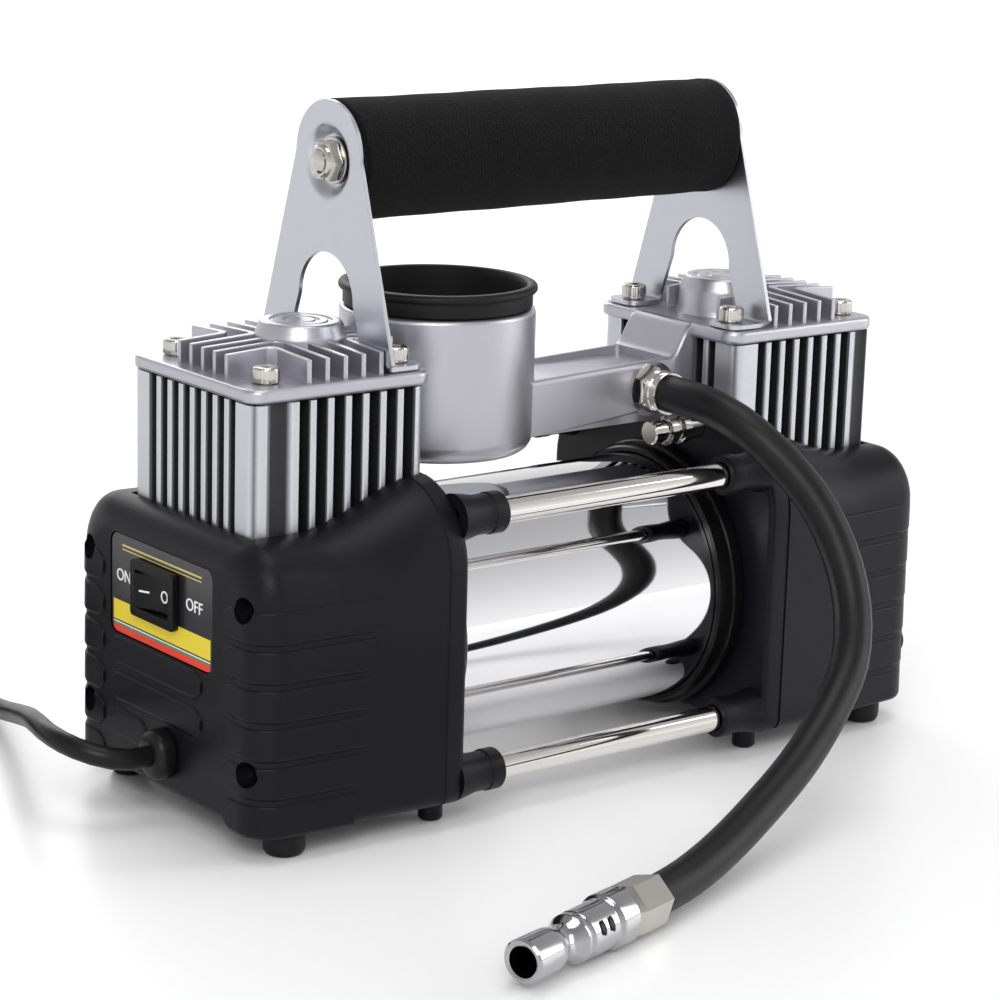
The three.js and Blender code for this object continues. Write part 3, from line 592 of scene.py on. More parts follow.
def coilRoute():
    slots, step = lead["slots"], lead["step"]
    changes, arrive, last = [], 0, None
    for here, there in zip(slots, slots[1:]):
        heading = (there[0] - here[0] > 1, there[0] - here[0] < -1, there[1] - here[1] > 1,
            there[1] - here[1] < -1)
        turn = 325 if last is None else 360 if heading == last else 360 - step
        arrive += turn
        changes.append((arrive - step, arrive, here, there))
        last = heading
    end = math.ceil((arrive - 180) / 360) * 360 + 180
    route = []
    total = round(lead["perTurn"] * end / 360)
    for i in range(total + 1):
        angle = end * i / total
        radius, height = slots[0]
        for low, high, here, there in changes:
            share = min(1, max(0, (angle - low) / (high - low)))
            share = share * share * (3 - 2 * share)
            if angle >= low:
                radius = here[0] + (there[0] - here[0]) * share
                height = here[1] + (there[1] - here[1]) * share
        turn = math.radians(angle)
        route.append(Vector((lead["coil"][0] + radius * math.cos(turn),
            lead["coil"][1] + radius * math.sin(turn), height)))
    return route


def makeCords():
    hoseRoute = smoothRoute(hose["points"], 40)
    airHose = cordCurve("airHose", hoseRoute, hose["radius"])
    airHose.data.materials.append(looks["hose"].material)
    leadRoute = smoothRoute(lead["points"], 36) + coilRoute()
    x, y, z = leadRoute[-1]
    for share in (0.25, 0.5, 0.75, 1.0):
        rise = share * share * (3 - 2 * share)
        leadRoute.append(Vector((x, y - 23.4 * share, z + (11.2 - z) * rise)))
    powerLead = cordCurve("powerLead", leadRoute, lead["radius"])
    powerLead.data.materials.append(looks["lead"].material)
    for piece, slot in ((airHose, "hose_rubber"), (powerLead, "lead_rubber")):
        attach(piece, "base")
    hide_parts("air_hose")
    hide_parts("power_cable", "cable_coil")
    return airHose, powerLead, hoseRoute, leadRoute


airHose, powerLead, hoseRoute, leadRoute = makeCords()


def makePlugs():  # what is on the ends of the hose and the lead
    start, toward = Vector(hose["points"][-1]), Vector(hose["toward"])
    heading = (toward - start).normalized()
    turn = Vector((0, 0, 1)).rotation_difference(heading).to_matrix().to_4x4()
    placing = Matrix.Translation(start * mm) @ turn
    ferrule = spun("hoseFerrule", [(5.3, 0.1), (hexagon(11.6), 0.9), (hexagon(11.8), 2),
        (hexagon(11.8), 11.6), (5.3, 13.2), (2.2, 13.2), (2.2, 0.1)], sides=72)
    finished(moved(ferrule, placing), "nickel", stands=["hose_ferrule"],
        crease=20)
    at = 13.4  # where the plug starts along the hose's end
    profile = [(2.2, 0), (5.2, 0), (5.5, 0.5), (5.5, 1.2), (6.6, 1.5), (6.9, 1.9), (6.9, 7.6),
        (6.6, 8.1), (6.2, 8.6), (6.1, 9.2), (6.1, 18.2), (5.8, 18.7), (5.7, 19.3), (6, 19.8),
        (6, 21), (5.7, 21.6), (4.9, 23), (4.4, 24.4), (4.4, 26.6), (4.7, 27.4), (5.1, 28.4),
        (5.3, 30), (5.4, 37.6), (5.4, 38.4), (4.9, 38.9), (4.3, 39), (3.8, 38.7), (3.6, 38),
        (3.6, 27), (2.2, 25)]
    plug = spun("quickPlug", [(r, h + at) for r, h in profile], sides=72)
    finished(moved(plug, placing), "plug", stands=["quick_plug"], crease=35)
    # black ovals on the plug's surface stand in for its slot openings: painted shade, as no hole
    # is cut in the plug
    slots = []
    for side in (0, 1):
        for along in (12, 15.4):
            slot = spun("slot", [(0, -0.16), (0.85, -0.1), (1.0, 0.1), (0.8, 0.28), (0, 0.32)],
                sides=24)
            slot.data.transform(Matrix.Diagonal((1, 1.9, 1, 1)))
            quarter = Matrix.Rotation(math.radians(130 + 180 * side), 4, "Z")
            out = Matrix.Translation((6.1 * mm, 0, (at + along) * mm))
            slot.data.transform(placing @ quarter @ out @ Matrix.Rotation(tau / 4, 4, "Y"))
            slots.append(slot)
    slotShadeBlobs = finished(joined("quickPlugSlots", slots), "satinBlack")

    x, y, z = -186.4, 136.4, 11.2
    body = [(0, -0.2), (3.3, -0.2), (3.5, -1)]
    for i in range(4):  # ribbed sleeve over the lead
        body += [(3.6 + i * 0.28, -2 - i * 3.2), (4.3 + i * 0.28, -2.5 - i * 3.2),
            (4.4 + i * 0.28, -4 - i * 3.2), (3.8 + i * 0.28, -4.6 - i * 3.2)]
    body += [(5.4, -17.6), (9.0, -18.8), (10.4, -20.4), (10.9, -22.6), (11, -24), (11, -39),
        (10.6, -40.6), (10.1, -41.6), (10.2, -43), (10.2, -57), (9.6, -58.6), (8.2, -60.2),
        (6.8, -60.6), (6.4, -61.4), (6.4, -65.4), (6.0, -66), (4.4, -66), (4.3, -65), (4.3, -52),
        (0, -52)]
    shell = spun("accessoryPlug", body, "y", (x, y, z), 64)
    finished(shell, "satinBlack", stands=["accessory_plug"], crease=35)
    tip = spun("plugTip", [(0, -57.2), (3.6, -57.2), (3.8, -57.6), (3.8, -67.4), (3.3, -68.6),
        (2.4, -69.7), (1.2, -70.4), (0, -70.6)], "y", (x, y, z), 48)
    finished(tip, "nickel", body="contact_tip", stands=["plug_tip"])
    springs = []
    for side in (-1, 1):
        bow = [(x + side * (8.9 + 1.9 * math.sin(math.pi * k / 12)), y - 43.5 - k)
            for k in range(13)]
        inner = [(px - side * 2.2, py) for px, py in reversed(bow)]
        springs.append(prism("spring", bow + inner, "z", z - 2.2, z + 2.2))
    contacts = finished(joined("sideContacts", springs), "nickel", edge=0.3)
    straps = []
    for degrees in (50, 235):
        around = Matrix.Translation((lead["coil"][0] * mm, lead["coil"][1] * mm, 0)) \
            @ Matrix.Rotation(math.radians(degrees), 4, "Z")
        outer = [(v, u) for u, v in roundedBox(9.6, 14.6, 3.6, 5, (33.6, 14.9))]
        inner = [(v, u) for u, v in roundedBox(8.7, 13.8, 3.0, 5, (33.6, 14.9))]
        rings = [[(u, h, v) for v, u in loop] for loop, h in ((outer, -3.5), (outer, 3.5),
            (inner, 3.5), (inner, -3.5), (outer, -3.5))]
        straps.append(moved(lofted("strap", rings, caps=False), around))
    ties = finished(joined("coilTies", straps), "satinBlack", crease=40)

    grommet = lofted("leadGrommet", [[(h, py, pz) for py, pz in roundedBox(5.9 - cut, 6.6 - cut,
        5.8 - cut, 12, leadExit)] for h, cut in ((-108.2, 2.4), (-113.1, 2.4), (-113.1, 0.25),
        (-113.4, 0), (-116.2, 0), (-117.3, 0.5), (-118.0, 1.3), (-118.35, 2.4), (-118.4, 3.2))])
    finished(grommet, "lead", stands=["cable_grommet"], crease=50)


makePlugs()
print("hose and lead: %.3f m and %.3f m" % (routeLength(hoseRoute), routeLength(leadRoute)))


def newTree(name, inputs):
    tree = bpy.data.node_groups.new(name, "GeometryNodeTree")
    tree.is_modifier = True
    tree.interface.new_socket("Geometry", in_out="OUTPUT", socket_type="NodeSocketGeometry")
    tree.interface.new_socket("Geometry", in_out="INPUT", socket_type="NodeSocketGeometry")
    for label, kind in inputs:
        tree.interface.new_socket(label, in_out="INPUT", socket_type="NodeSocket" + kind)
    bench = Bench(tree)
    source = tree.nodes.new("NodeGroupInput")
    return tree, bench, {s.name: Wire(bench, s) for s in source.outputs if s.name}


def endTree(tree, bench, shape, material):
    real = bench.node("GeometryNodeRealizeInstances", values={0: shape})
    painted = bench.node("GeometryNodeSetMaterial", values={"Geometry": real,
        "Material": material})
    output = tree.nodes.new("NodeGroupOutput")
    tree.links.new(painted.socket, output.inputs[0])


# Fins, slats or pads in a straight row: a rounded bar, stood on each point of a line.
def rowOfBars():
    tree, bench, given = newTree("rowOfBars", [("Start", "Vector"), ("Step", "Vector"),
        ("Count", "Int"), ("Width", "Float"), ("Depth", "Float"), ("Height", "Float"),
        ("Corner", "Float"), ("Material", "Material")])
    outline = bench.node("GeometryNodeCurvePrimitiveQuadrilateral", {"mode": "RECTANGLE"},
        {"Width": given["Width"], "Height": given["Depth"]})
    soft = bench.node("GeometryNodeFilletCurve", {"mode": "POLY"},
        {"Curve": outline, "Count": 4, "Radius": given["Corner"]})
    sheet = bench.node("GeometryNodeFillCurve", {"mode": "NGONS"}, {0: soft})
    up = bench.node("ShaderNodeCombineXYZ", values={2: given["Height"]})
    raised = bench.node("GeometryNodeExtrudeMesh", {"mode": "FACES"},
        {"Mesh": sheet, "Offset": up, "Offset Scale": 1.0, "Individual": False})
    under = bench.node("GeometryNodeFlipFaces", values={0: sheet})
    closed = bench.node("GeometryNodeJoinGeometry", values={0: [raised, under]})
    bar = bench.node("GeometryNodeMergeByDistance", values={"Geometry": closed, "Distance": 1e-6})
    line = bench.node("GeometryNodeMeshLine", {"mode": "OFFSET"},
        {"Count": given["Count"], "Start Location": given["Start"], "Offset": given["Step"]})
    bars = bench.node("GeometryNodeInstanceOnPoints", values={"Points": line, "Instance": bar})
    endTree(tree, bench, bars, given["Material"])
    return tree


# One made piece on every point of the carrier, such as a screw in each hole.
def pieceOnPoints():
    tree, bench, given = newTree("pieceOnPoints", [("Piece", "Object"), ("Size", "Float"),
        ("Material", "Material")])
    piece = bench.node("GeometryNodeObjectInfo", values={"Object": given["Piece"]}, out="Geometry")
    placed = bench.node("GeometryNodeInstanceOnPoints", values={"Points": given["Geometry"],
        "Instance": piece, "Scale": given["Size"]})
    endTree(tree, bench, placed, given["Material"])
    return tree


# Bars standing round a circle, such as dial marks.
def barsRound():
    tree, bench, given = newTree("barsRound", [("Centre", "Vector"), ("Radius", "Float"),
        ("Count", "Int"), ("From", "Float"), ("Sweep", "Float"), ("Bar", "Vector"),
        ("Material", "Material")])
    line = bench.node("GeometryNodeMeshLine", {"mode": "OFFSET"},
        {"Count": given["Count"], "Start Location": (0, 0, 0), "Offset": (0, 0, 0)})
    index = bench.node("GeometryNodeInputIndex")
    angle = given["From"] + index * given["Sweep"] / (given["Count"] - 1)
    cosine = bench.node("ShaderNodeMath", {"operation": "COSINE"}, {0: angle})
    sine = bench.node("ShaderNodeMath", {"operation": "SINE"}, {0: angle})
    spot = bench.node("ShaderNodeCombineXYZ", values={0: cosine * given["Radius"],
        1: sine * given["Radius"]})
    place = bench.node("ShaderNodeVectorMath", {"operation": "ADD"}, {0: spot, 1: given["Centre"]})
    spread = bench.node("GeometryNodeSetPosition", values={"Geometry": line, "Position": place})
    bar = bench.node("GeometryNodeMeshCube", values={"Size": given["Bar"]})
    turn = bench.node("ShaderNodeCombineXYZ", values={2: angle})
    bars = bench.node("GeometryNodeInstanceOnPoints", values={"Points": spread, "Instance": bar,
        "Rotation": turn})
    endTree(tree, bench, bars, given["Material"])
    return tree


trees = {"rowOfBars": rowOfBars(), "pieceOnPoints": pieceOnPoints(), "barsRound": barsRound()}


def grown(name, treeName, points=(), **inputs):
    piece = shown(name, plainMesh(name, points))
    maker = piece.modifiers.new("maker", "NODES")
    maker.node_group = trees[treeName]
    keys = {item.name: item.identifier for item in trees[treeName].interface.items_tree
        if item.in_out == "INPUT"}
    for label, value in inputs.items():
        maker[keys[label]] = value
    return settle(piece)


wellRadius = 3.3
housing = {"inner": 51.5, "split": 58.3, "outer": 112.8, "halfWidth": 47.5, "endHalfWidth": 43.9,
    "bottom": 6.3, "topInner": 90.2, "topOuter": 79.6, "shoulder": 22, "endShoulder": 12,
    "endRound": 8, "wall": 2.6, "heel": 4, "wells": [(-36.9, 64.7), (-38.4, 23.1), (36.6, 64.4),
    (36.2, 23.0)]}
tie = {"spots": [("frontUpperTie", -40.8, 80.8), ("rearUpperTie", 40.8, 80.8),
    ("frontLowerTie", -42.2, 12.4), ("rearLowerTie", 42.2, 12.4)],
    "nodes": ["front_upper_tie_tube", "rear_upper_tie_tube", "front_lower_tie_tube",
    "rear_lower_tie_tube"], "radius": 3.5, "half": 37.7, "bossEnd": 38}
switch = {"y": 2.8, "z": 59.4, "width": 15.0, "height": 9.2, "pivotX": -112.4, "tilt": 11}
pads = {"rows": 6, "first": 60.9, "pitch": 9.9, "height": 8.2, "proud": 0.55, "sunk": 0.5,
    "reach": 29.5, "upper": 78, "lower": 85}


def housingHalf(s, inset=0.0):
    run = max(0, (s - housing["split"]) / (housing["outer"] - housing["split"]))
    past = max(0, s - (housing["outer"] - inset - housing["endRound"]))
    rounding = housing["endRound"] - math.sqrt(max(0, housing["endRound"] ** 2 - past ** 2))
    half = housing["halfWidth"] - (housing["halfWidth"] - housing["endHalfWidth"]) * run
    return half - inset - rounding, run, rounding


def housingRing(side, s, inset=0.0, steps=12):
    half, run, rounding = housingHalf(s, inset)
    t = min(1, max(0, (s - 55) / 37))
    top = housing["topInner"] - (housing["topInner"] - housing["topOuter"]) * t * t * (3 - 2 * t)
    high = top - inset - rounding
    low = housing["bottom"] + inset + rounding * 0.5
    shoulder = housing["shoulder"] + (housing["endShoulder"] - housing["shoulder"]) * run - inset
    heel = max(1, housing["heel"] - inset)
    ring = []
    for cy, cz, r, quarter in ((half - shoulder, high - shoulder, shoulder, 0),
            (-half + shoulder, high - shoulder, shoulder, 1), (-half + heel, low + heel, heel, 2),
            (half - heel, low + heel, heel, 3)):
        for i in range(steps + 1):
            angle = tau / 4 * (quarter + i / steps)
            ring.append((side * s, cy + r * math.cos(angle), cz + r * math.sin(angle)))
    return ring


def stationsOf(low, high, inset):
    rounded = housing["outer"] - inset - housing["endRound"]
    flat = [s for s in (60, 63, 66, 70, 74, 78, 83, 88, 92, 98, rounded) if low < s < high]
    curved = [rounded + housing["endRound"] * math.sin(tau / 4 * k / 9) for k in range(1, 10)]
    return [low, *flat, *[s for s in curved if s < high - 0.01], high]


def notchOf(side):
    a, b = span(side, 52.0, 105.0)
    return block("notch", a, b, -28.7, 28.7, 73.6, 100)


def endHousing(side, name, node):
    split, outer, wall = housing["split"], housing["outer"], housing["wall"]
    shell = lofted(name, [housingRing(side, s) for s in stationsOf(split, outer, 0)])
    hollow = lofted("hollow", [housingRing(side, s, wall) for s in stationsOf(split - 1,
        outer - wall, wall)])
    cuts = [hollow, notchOf(side)]
    for y, z in housing["wells"]:
        cuts.append(rod("well", wellRadius, *span(side, outer - 7, outer + 1), "x", (0, y, z)))
    if side < 0:
        at = (panel["y"], panel["z"])
        cuts.append(prism("pocket", roundedBox(panel["width"] / 2 + 0.3, panel["height"] / 2 + 0.3,
            3, 6, at), "x", -outer - 1, -outer + panel["depth"]))
        cuts.append(prism("opening", roundedBox(9.4, 6.6, 1, 3, (switch["y"], switch["z"])), "x",
            -outer - 1, -outer + 6))
        cuts.append(rod("leadHole", 4.6, -outer - 1, -outer + 6, "x", (0, *leadExit)))
    combine(shell, *cuts)
    finished(shell, "housing", stands=[node], edge=0.45, steps=2, crease=40)


def innerCover(side, name, node):
    inner, split, wall = housing["inner"], housing["split"], housing["wall"]
    rings = []
    for s, inset in ((inner, 1.6), (inner + 0.25, 0.8), (inner + 0.8, 0.25), (inner + 1.8, 0),
            (split - 1.1, 0), (split - 0.8, 0.35), (split - 0.1, 0.35)):
        rings.append(housingRing(side, s, inset))
    shell = lofted(name, rings)
    hollow = lofted("hollow", [housingRing(side, s, wall) for s in (inner + 3, split + 1)])
    shaftHole = rod("shaftHole", 11, *span(side, 45, 70), "x", (0, 0, shaftZ), 48)
    combine(shell, hollow, notchOf(side), shaftHole)
    parts = [shell]
    end = tie["bossEnd"]
    for _, y, z in tie["spots"]:
        profile = [(3.75, end + 3), (3.75, end), (5.2, end), (5.5, end + 0.4), (5.5, end + 4),
            (5.2, end + 4.3), (5.2, end + 8), (6.0, end + 12), (6.4, inner + 1), (3.0, inner + 1),
            (3.0, end + 3)]
        parts.append(spun("boss", [(r, side * h) for r, h in profile], "x", (0, y, z), 40))
    for y in (-37, 37):
        foot = [(0, 0.3), (2.7, 0.3), (3.2, 0.9), (3.2, housing["bottom"] + 2),
            (0, housing["bottom"] + 2)]
        parts.append(spun("pip", foot, "z", (side * (split - 3.7), y, 0), 32))
    cover = joined(name, parts)
    finished(cover, "housing", stands=[node], crease=40)


# A pad follows the housing's wall at one height, from the long side round the corner.
def padAlong(name, route, z, height, bothEnds=False):
    rings = []
    total = len(route) - 1
    for k, (x, y, nx, ny) in enumerate(route):
        near = min(total - k, k if bothEnds else total)
        shrink = max(0.4, math.sqrt(1 - (1 - min(1, near / 5)) ** 2))
        half, proud = height / 2 * shrink, pads["proud"]
        ring = []
        for out, up in ((-pads["sunk"], -half - 0.5), (0.0, -half - 0.35),
                (proud - 0.12, -half + 0.35), (proud, -half + 0.75), (proud * 0.8, half - 0.7),
                (proud * 0.5, half - 0.25), (0.0, half), (-pads["sunk"], half + 0.1)):
            ring.append((x + nx * out, y + ny * out, z + up))
        rings.append(ring)
    return lofted(name, rings)


def sideRoute(side, front, reach, innerEnd):
    route = []
    outer, rounding = housing["outer"], housing["endRound"]
    s = innerEnd
    while s < outer - rounding:
        route.append((side * s, front * housingHalf(s)[0], 0, front))
        s += 1.5
    for k in range(10):
        angle = tau / 4 * k / 9
        s = outer - rounding + rounding * math.sin(angle)
        route.append((side * s, front * housingHalf(s)[0], side * math.sin(angle),
            front * math.cos(angle)))
    y = housingHalf(outer)[0]
    while y > reach:
        y -= 0.8
        route.append((side * outer, front * y, side, 0))
    return route


def housingPads(side, name):
    parts = []
    for row in range(pads["rows"]):
        z = pads["first"] - row * pads["pitch"]
        innerEnd = pads["upper"] + (pads["lower"] - pads["upper"]) * row / (pads["rows"] - 1)
        for front in (-1, 1):
            route = sideRoute(side, front, pads["reach"], innerEnd)
            parts.append(padAlong("pad", route, z, pads["height"]))
    for row in range(3):
        z = 40.4 - row * pads["pitch"]
        low, high = (-18.5, 25) if row < 2 else (7.5, 25)
        count = round((high - low) / 0.8)
        route = [(side * housing["outer"], low + (high - low) * k / count, side, 0)
            for k in range(count + 1)]
        parts.append(padAlong("pad", route, z, pads["height"] - 0.6, bothEnds=True))
    relief = joined(name, parts)
    combine(relief, *[rod("well", wellRadius, *span(side, 100, 120), "x", (0, y, z)) for y,
        z in housing["wells"]])
    finished(relief, "housing", crease=50)


def makeHousings():
    for side, label in halves:
        endHousing(side, label + "EndHousing", label + "_end_housing")
        innerCover(side, label + "InnerCover", label + "_inner_cover")
    housingPads(-1, "leftHousingPads")
    keep = housing["outer"]
    housing["outer"] = keep - pads["proud"]  # the far end's pads stay inside the length
    housingPads(1, "rightHousingPads")
    housing["outer"] = keep
    for (label, y, z), node in zip(tie["spots"], tie["nodes"]):
        half, radius = tie["half"], tie["radius"]
        profile = [(2.2, -half), (radius - 0.2, -half), (radius, -half + 0.3),
            (radius, half - 0.3), (radius - 0.2, half), (2.2, half)]
        finished(spun(label + "Tube", profile, "x", (0, y, z), 64), "tube",
            stands=[node])
    for side, end in halves:
        for front, row in ((-1, "front"), (1, "rear")):
            profile = [(0, 0), (3.6, 0), (4.6, 0.35), (5.2, 1.2), (5.4, 2.4), (5.4, 6), (0, 6)]
            foot = spun(end + row.title() + "Foot", profile, "z", (side * 100, front * 37, 0), 48)
            finished(foot, "foot", stands=["%s_%s_foot" % (end, row)])
    screwHead = [(0, 0), (2.9, 0), (2.9, 1.4), (2.2, 1.9), (0.8, 2.0), (0.6, 1.2), (0, 1.0)]
    wellCup = [(0, -3), (4.2, -3), (4.2, 4.2), (3.32, 4.2), (3.32, -1), (0, -1)]
    sunk = (("WellScrews", "steel", "steel", screwHead), ("ScrewWells", "satinBlack",
        "housing_plastic", wellCup))
    for side, label in halves:
        spots = [(side * 106.2, y, z) for y, z in housing["wells"]]
        for name, look, slot, profile in sunk:
            part = spun("part", profile, "x", sides=32)
            if side < 0:
                part.data.transform(Matrix.Rotation(math.pi, 4, "Z"))
            placed = grown(label + name, "pieceOnPoints", spots, Piece=part, Size=1.0,
                Material=looks[look].material)
            discard(part)
            finished(placed, look)


makeHousings()
print("housings, covers, feet and tubes are made")


def writing(text, size):  # a flat mesh of letters or figures about its own middle
    curve = bpy.data.curves.new("writing", "FONT")
    curve.body, curve.size, curve.extrude = text, size * mm, 0.08 * mm
    curve.align_x, curve.align_y = "CENTER", "CENTER"
    holder = shown("writing", curve)
    graph = bpy.context.evaluated_depsgraph_get()
    mesh = bpy.data.meshes.new_from_object(holder.evaluated_get(graph))
    discard(holder)
    return shown("writing", mesh)


def onEndFace(x, y, z):  # turns a flat mesh to face -X, its right towards -Y
    return Matrix(((0, 0, -1, x * mm), (-1, 0, 0, y * mm), (0, 1, 0, z * mm), (0, 0, 0, 1)))


def makeSwitch():
    faceX = -housing["outer"] + panel["depth"] - 0.3
    at = (panel["y"], panel["z"])
    plate = prism("switchPlate", roundedBox(panel["width"] / 2, panel["height"] / 2, 2.8, 8, at),
        "x", faceX - 1, faceX)
    gap = prism("gap", roundedBox(9.4, 6.6, 1, 3, (switch["y"], switch["z"])), "x", faceX - 3,
        faceX + 3)
    finished(combine(plate, gap), "label", stands=["switch_panel"], edge=0.15)
    plateX = faceX - 1
    spot = (switch["y"], switch["z"])
    flange = prism("switchBezel", roundedBox(10.3, 7.4, 1.2, 6, spot), "x", plateX - 2.1,
        plateX - 0.3)
    neck = prism("neck", roundedBox(9.0, 6.2, 0.8, 3, spot), "x", plateX - 0.8, plateX + 15)
    combine(flange, neck, mode="UNION")
    combine(flange, prism("well", roundedBox(7.9, 4.95, 0.3, 2, spot), "x", plateX - 5,
        plateX + 6.4))
    finished(flange, "satinBlack", stands=["switch_bezel"], edge=0.35)

    half = switch["width"] / 2 - 0.2
    crown = [(0.45 + 1.4 * (s / half) ** 2, s) for s in [half * (k / 8 - 1) for k in range(17)]]
    outline = [(-1.2, -half), *crown, (-1.2, half), (-4, 3), (-4, -3)]
    turn = Matrix.Translation((switch["pivotX"] * mm, switch["y"] * mm, switch["z"] * mm)) \
        @ Matrix.Rotation(math.radians(switch["tilt"]), 4, "Z")
    rocker = prism("rocker", [(-h, s) for h, s in outline], "z", -4.6, 4.6)
    finished(moved(rocker, turn), "satinBlack", body="rocker",
        stands=["rocker_button"], edge=0.3, crease=35)
    marks = []
    bar = block("bar", -1.6, 1.6, -0.25, 0.25, -0.08, 0.08)
    lie = Matrix(((0, 0, -1, 0), (-1, 0, 0, 0), (0, 1, 0, 0), (0, 0, 0, 1)))
    for s, mark in ((4.1, bar), (-3.3, spun("ring", [(1.15, -0.08), (1.6, -0.08), (1.6, 0.08),
            (1.15, 0.08)], "z", sides=40))):
        rise = 0.56 + 1.4 * (s / half) ** 2
        slope = Matrix.Rotation(math.atan(2 * 1.4 * s / half ** 2), 4, "Z")
        mark.data.transform(turn @ Matrix.Translation((-rise * mm, s * mm, 0)) @ slope @ lie)
        marks.append(mark)
    finished(joined("rockerMarks", marks), "white", body="rocker")
    words = []
    for text, y in (("ON", 19.3), ("OFF", -14.6)):
        word = writing(text, 4.5)
        words.append(moved(word, onEndFace(plateX - 0.06, y, 60.2)))
    finished(joined("switchWords", words), "white")


makeSwitch()


def makeMotor():
    axis = (0, 0, shaftZ)
    can = [(33.2, -46.6), (34.7, -46.6), (35, -46.2), (35, 46.2), (34.7, 46.6), (33.2, 46.6)]
    finished(spun("motorCan", can, "x", axis, 160), "chrome", stands=["motor_can"])
    for side, label in halves:
        bell = [(4.3, 45), (9, 45), (9, 47.2), (34.6, 47.2), (34.6, 46.9), (35.3, 46.9),
            (35.3, 43.2), (36.3, 43.2), (36.8, 43.8), (36.8, 47.4), (37.6, 47.6), (38, 48),
            (38, 50.8), (37.6, 51.2), (4.3, 51.2)]
        finished(spun(label + "Bell", [(r, side * h) for r, h in bell], "x", axis, 128),
            "satinBlack", stands=[label + "_end_bell"])


makeMotor()
print("switch and motor are made")


head = {"x": 77.9, "halfX": 27.6, "halfY": 29.2, "corner": 5, "bottom": 113.0, "top": 116.6,
    "finTop": 123.4, "finEdge": 122.5, "pitch": 5.45, "shift": 1.6, "thick": 1.5, "hubX": 6,
    "screw": 20.8, "leftOuterScrew": 18.2}
plateSeat, bracketSeat = 116.9, 118.4  # the inner screws stand on the handle brackets' feet
cylinder = {"x": 78.5, "halfX": 26.1, "halfY": 28.3, "bottom": 74, "top": 112.7, "corner": 3.2,
    "bore": 15, "seat": 111.5, "seatRadius": 18.8, "deep": 6, "frontPitch": 5.3, "frontFin": 2.0,
    "sidePitch": 5.3, "sideFin": 2.0, "shift": {"left": 4.5, "right": 0.6}}


def cylinderBlock(side, label):
    x = side * cylinder["x"]
    look = label + "Fins"
    looks[look] = finnedMetal(label + "FinnedMetal", x, cylinder["halfX"], cylinder["halfY"])
    low, high = cylinder["bottom"], cylinder["top"]
    middle = side * head["x"] + cylinder["shift"][label]
    wide, deep = 3.5 * cylinder["frontPitch"] - 1.0, cylinder["deep"]
    across = 4 * cylinder["sidePitch"] - 1.0
    halfX, halfY = cylinder["halfX"], cylinder["halfY"]
    corners = roundedBox(halfX, halfY, cylinder["corner"], 8, (x, 0))
    quarter = len(corners) // 4
    outline = []
    for k, (su, sv) in enumerate(((0, 1), (-1, 0), (0, -1), (1, 0))):
        outline += corners[k * quarter:(k + 1) * quarter]
        for along, depth in ((1, 0), (1, deep), (-1, deep), (-1, 0)):
            if sv:  # the recess on a long face, then the one on a short face
                outline.append((middle + sv * along * wide, sv * (halfY - depth)))
            else:
                outline.append((x + su * (halfX - depth), -su * along * across))
    core = prism(label + "Cylinder", outline, "z", low, high)
    bore, seat, wider = cylinder["bore"], cylinder["seat"], cylinder["seatRadius"]
    cuts = [spun("bore", [(0, low - 1), (bore, low - 1), (bore, seat), (wider, seat),
        (wider, high + 1), (0, high + 1)], "z", (side * head["x"], 0, 0), 64)]
    for s in (-1, 1):  # a shallow flute in the broad corner of each long face
        cuts.append(rod("flute", 5.5, low - 1, high + 1, "z", (middle + side * (wide + 5.6),
            s * (halfY + 3.9), 0), 48))
    combine(core, *cuts)
    finished(core, look, stands=[label + "_cylinder_block"], edge=0.35,
        crease=35)
    rows = []
    tall = (high - low - 0.1) * mm
    for s in (-1, 1):
        start = (middle - 2.5 * cylinder["frontPitch"], s * (cylinder["halfY"] - deep / 2 - 0.2),
            low)
        rows.append(grown("fins", "rowOfBars", Start=[c * mm for c in start],
            Step=(cylinder["frontPitch"] * mm, 0.0, 0.0), Count=6, Width=cylinder["frontFin"] * mm,
            Depth=(deep + 0.4) * mm, Height=tall, Corner=0.55 * mm, Material=looks[look].material))
        start = (x + s * (cylinder["halfX"] - deep / 2 - 0.2), -3 * cylinder["sidePitch"], low)
        rows.append(grown("fins", "rowOfBars", Start=[c * mm for c in start],
            Step=(0.0, cylinder["sidePitch"] * mm, 0.0), Count=7, Width=(deep + 0.4) * mm,
            Depth=cylinder["sideFin"] * mm, Height=tall, Corner=0.5 * mm,
            Material=looks[look].material))
    finished(joined(label + "CylinderFins", rows), look, crease=50)


def finTop(u, v):  # fin tops fall a little from the hub towards the plate's edge
    run = min(1, max(0, (max(abs(u), abs(v)) - 10) / 15))
    return head["finTop"] + (head["finEdge"] - head["finTop"]) * run


def finPrism(x, outline):
    x += head["shift"]
    low = [(x + u, v, head["top"] - 0.6) for u, v in outline]
    high = [(x + u, v, finTop(u, v)) for u, v in outline]
    return lofted("fin", [low, high])


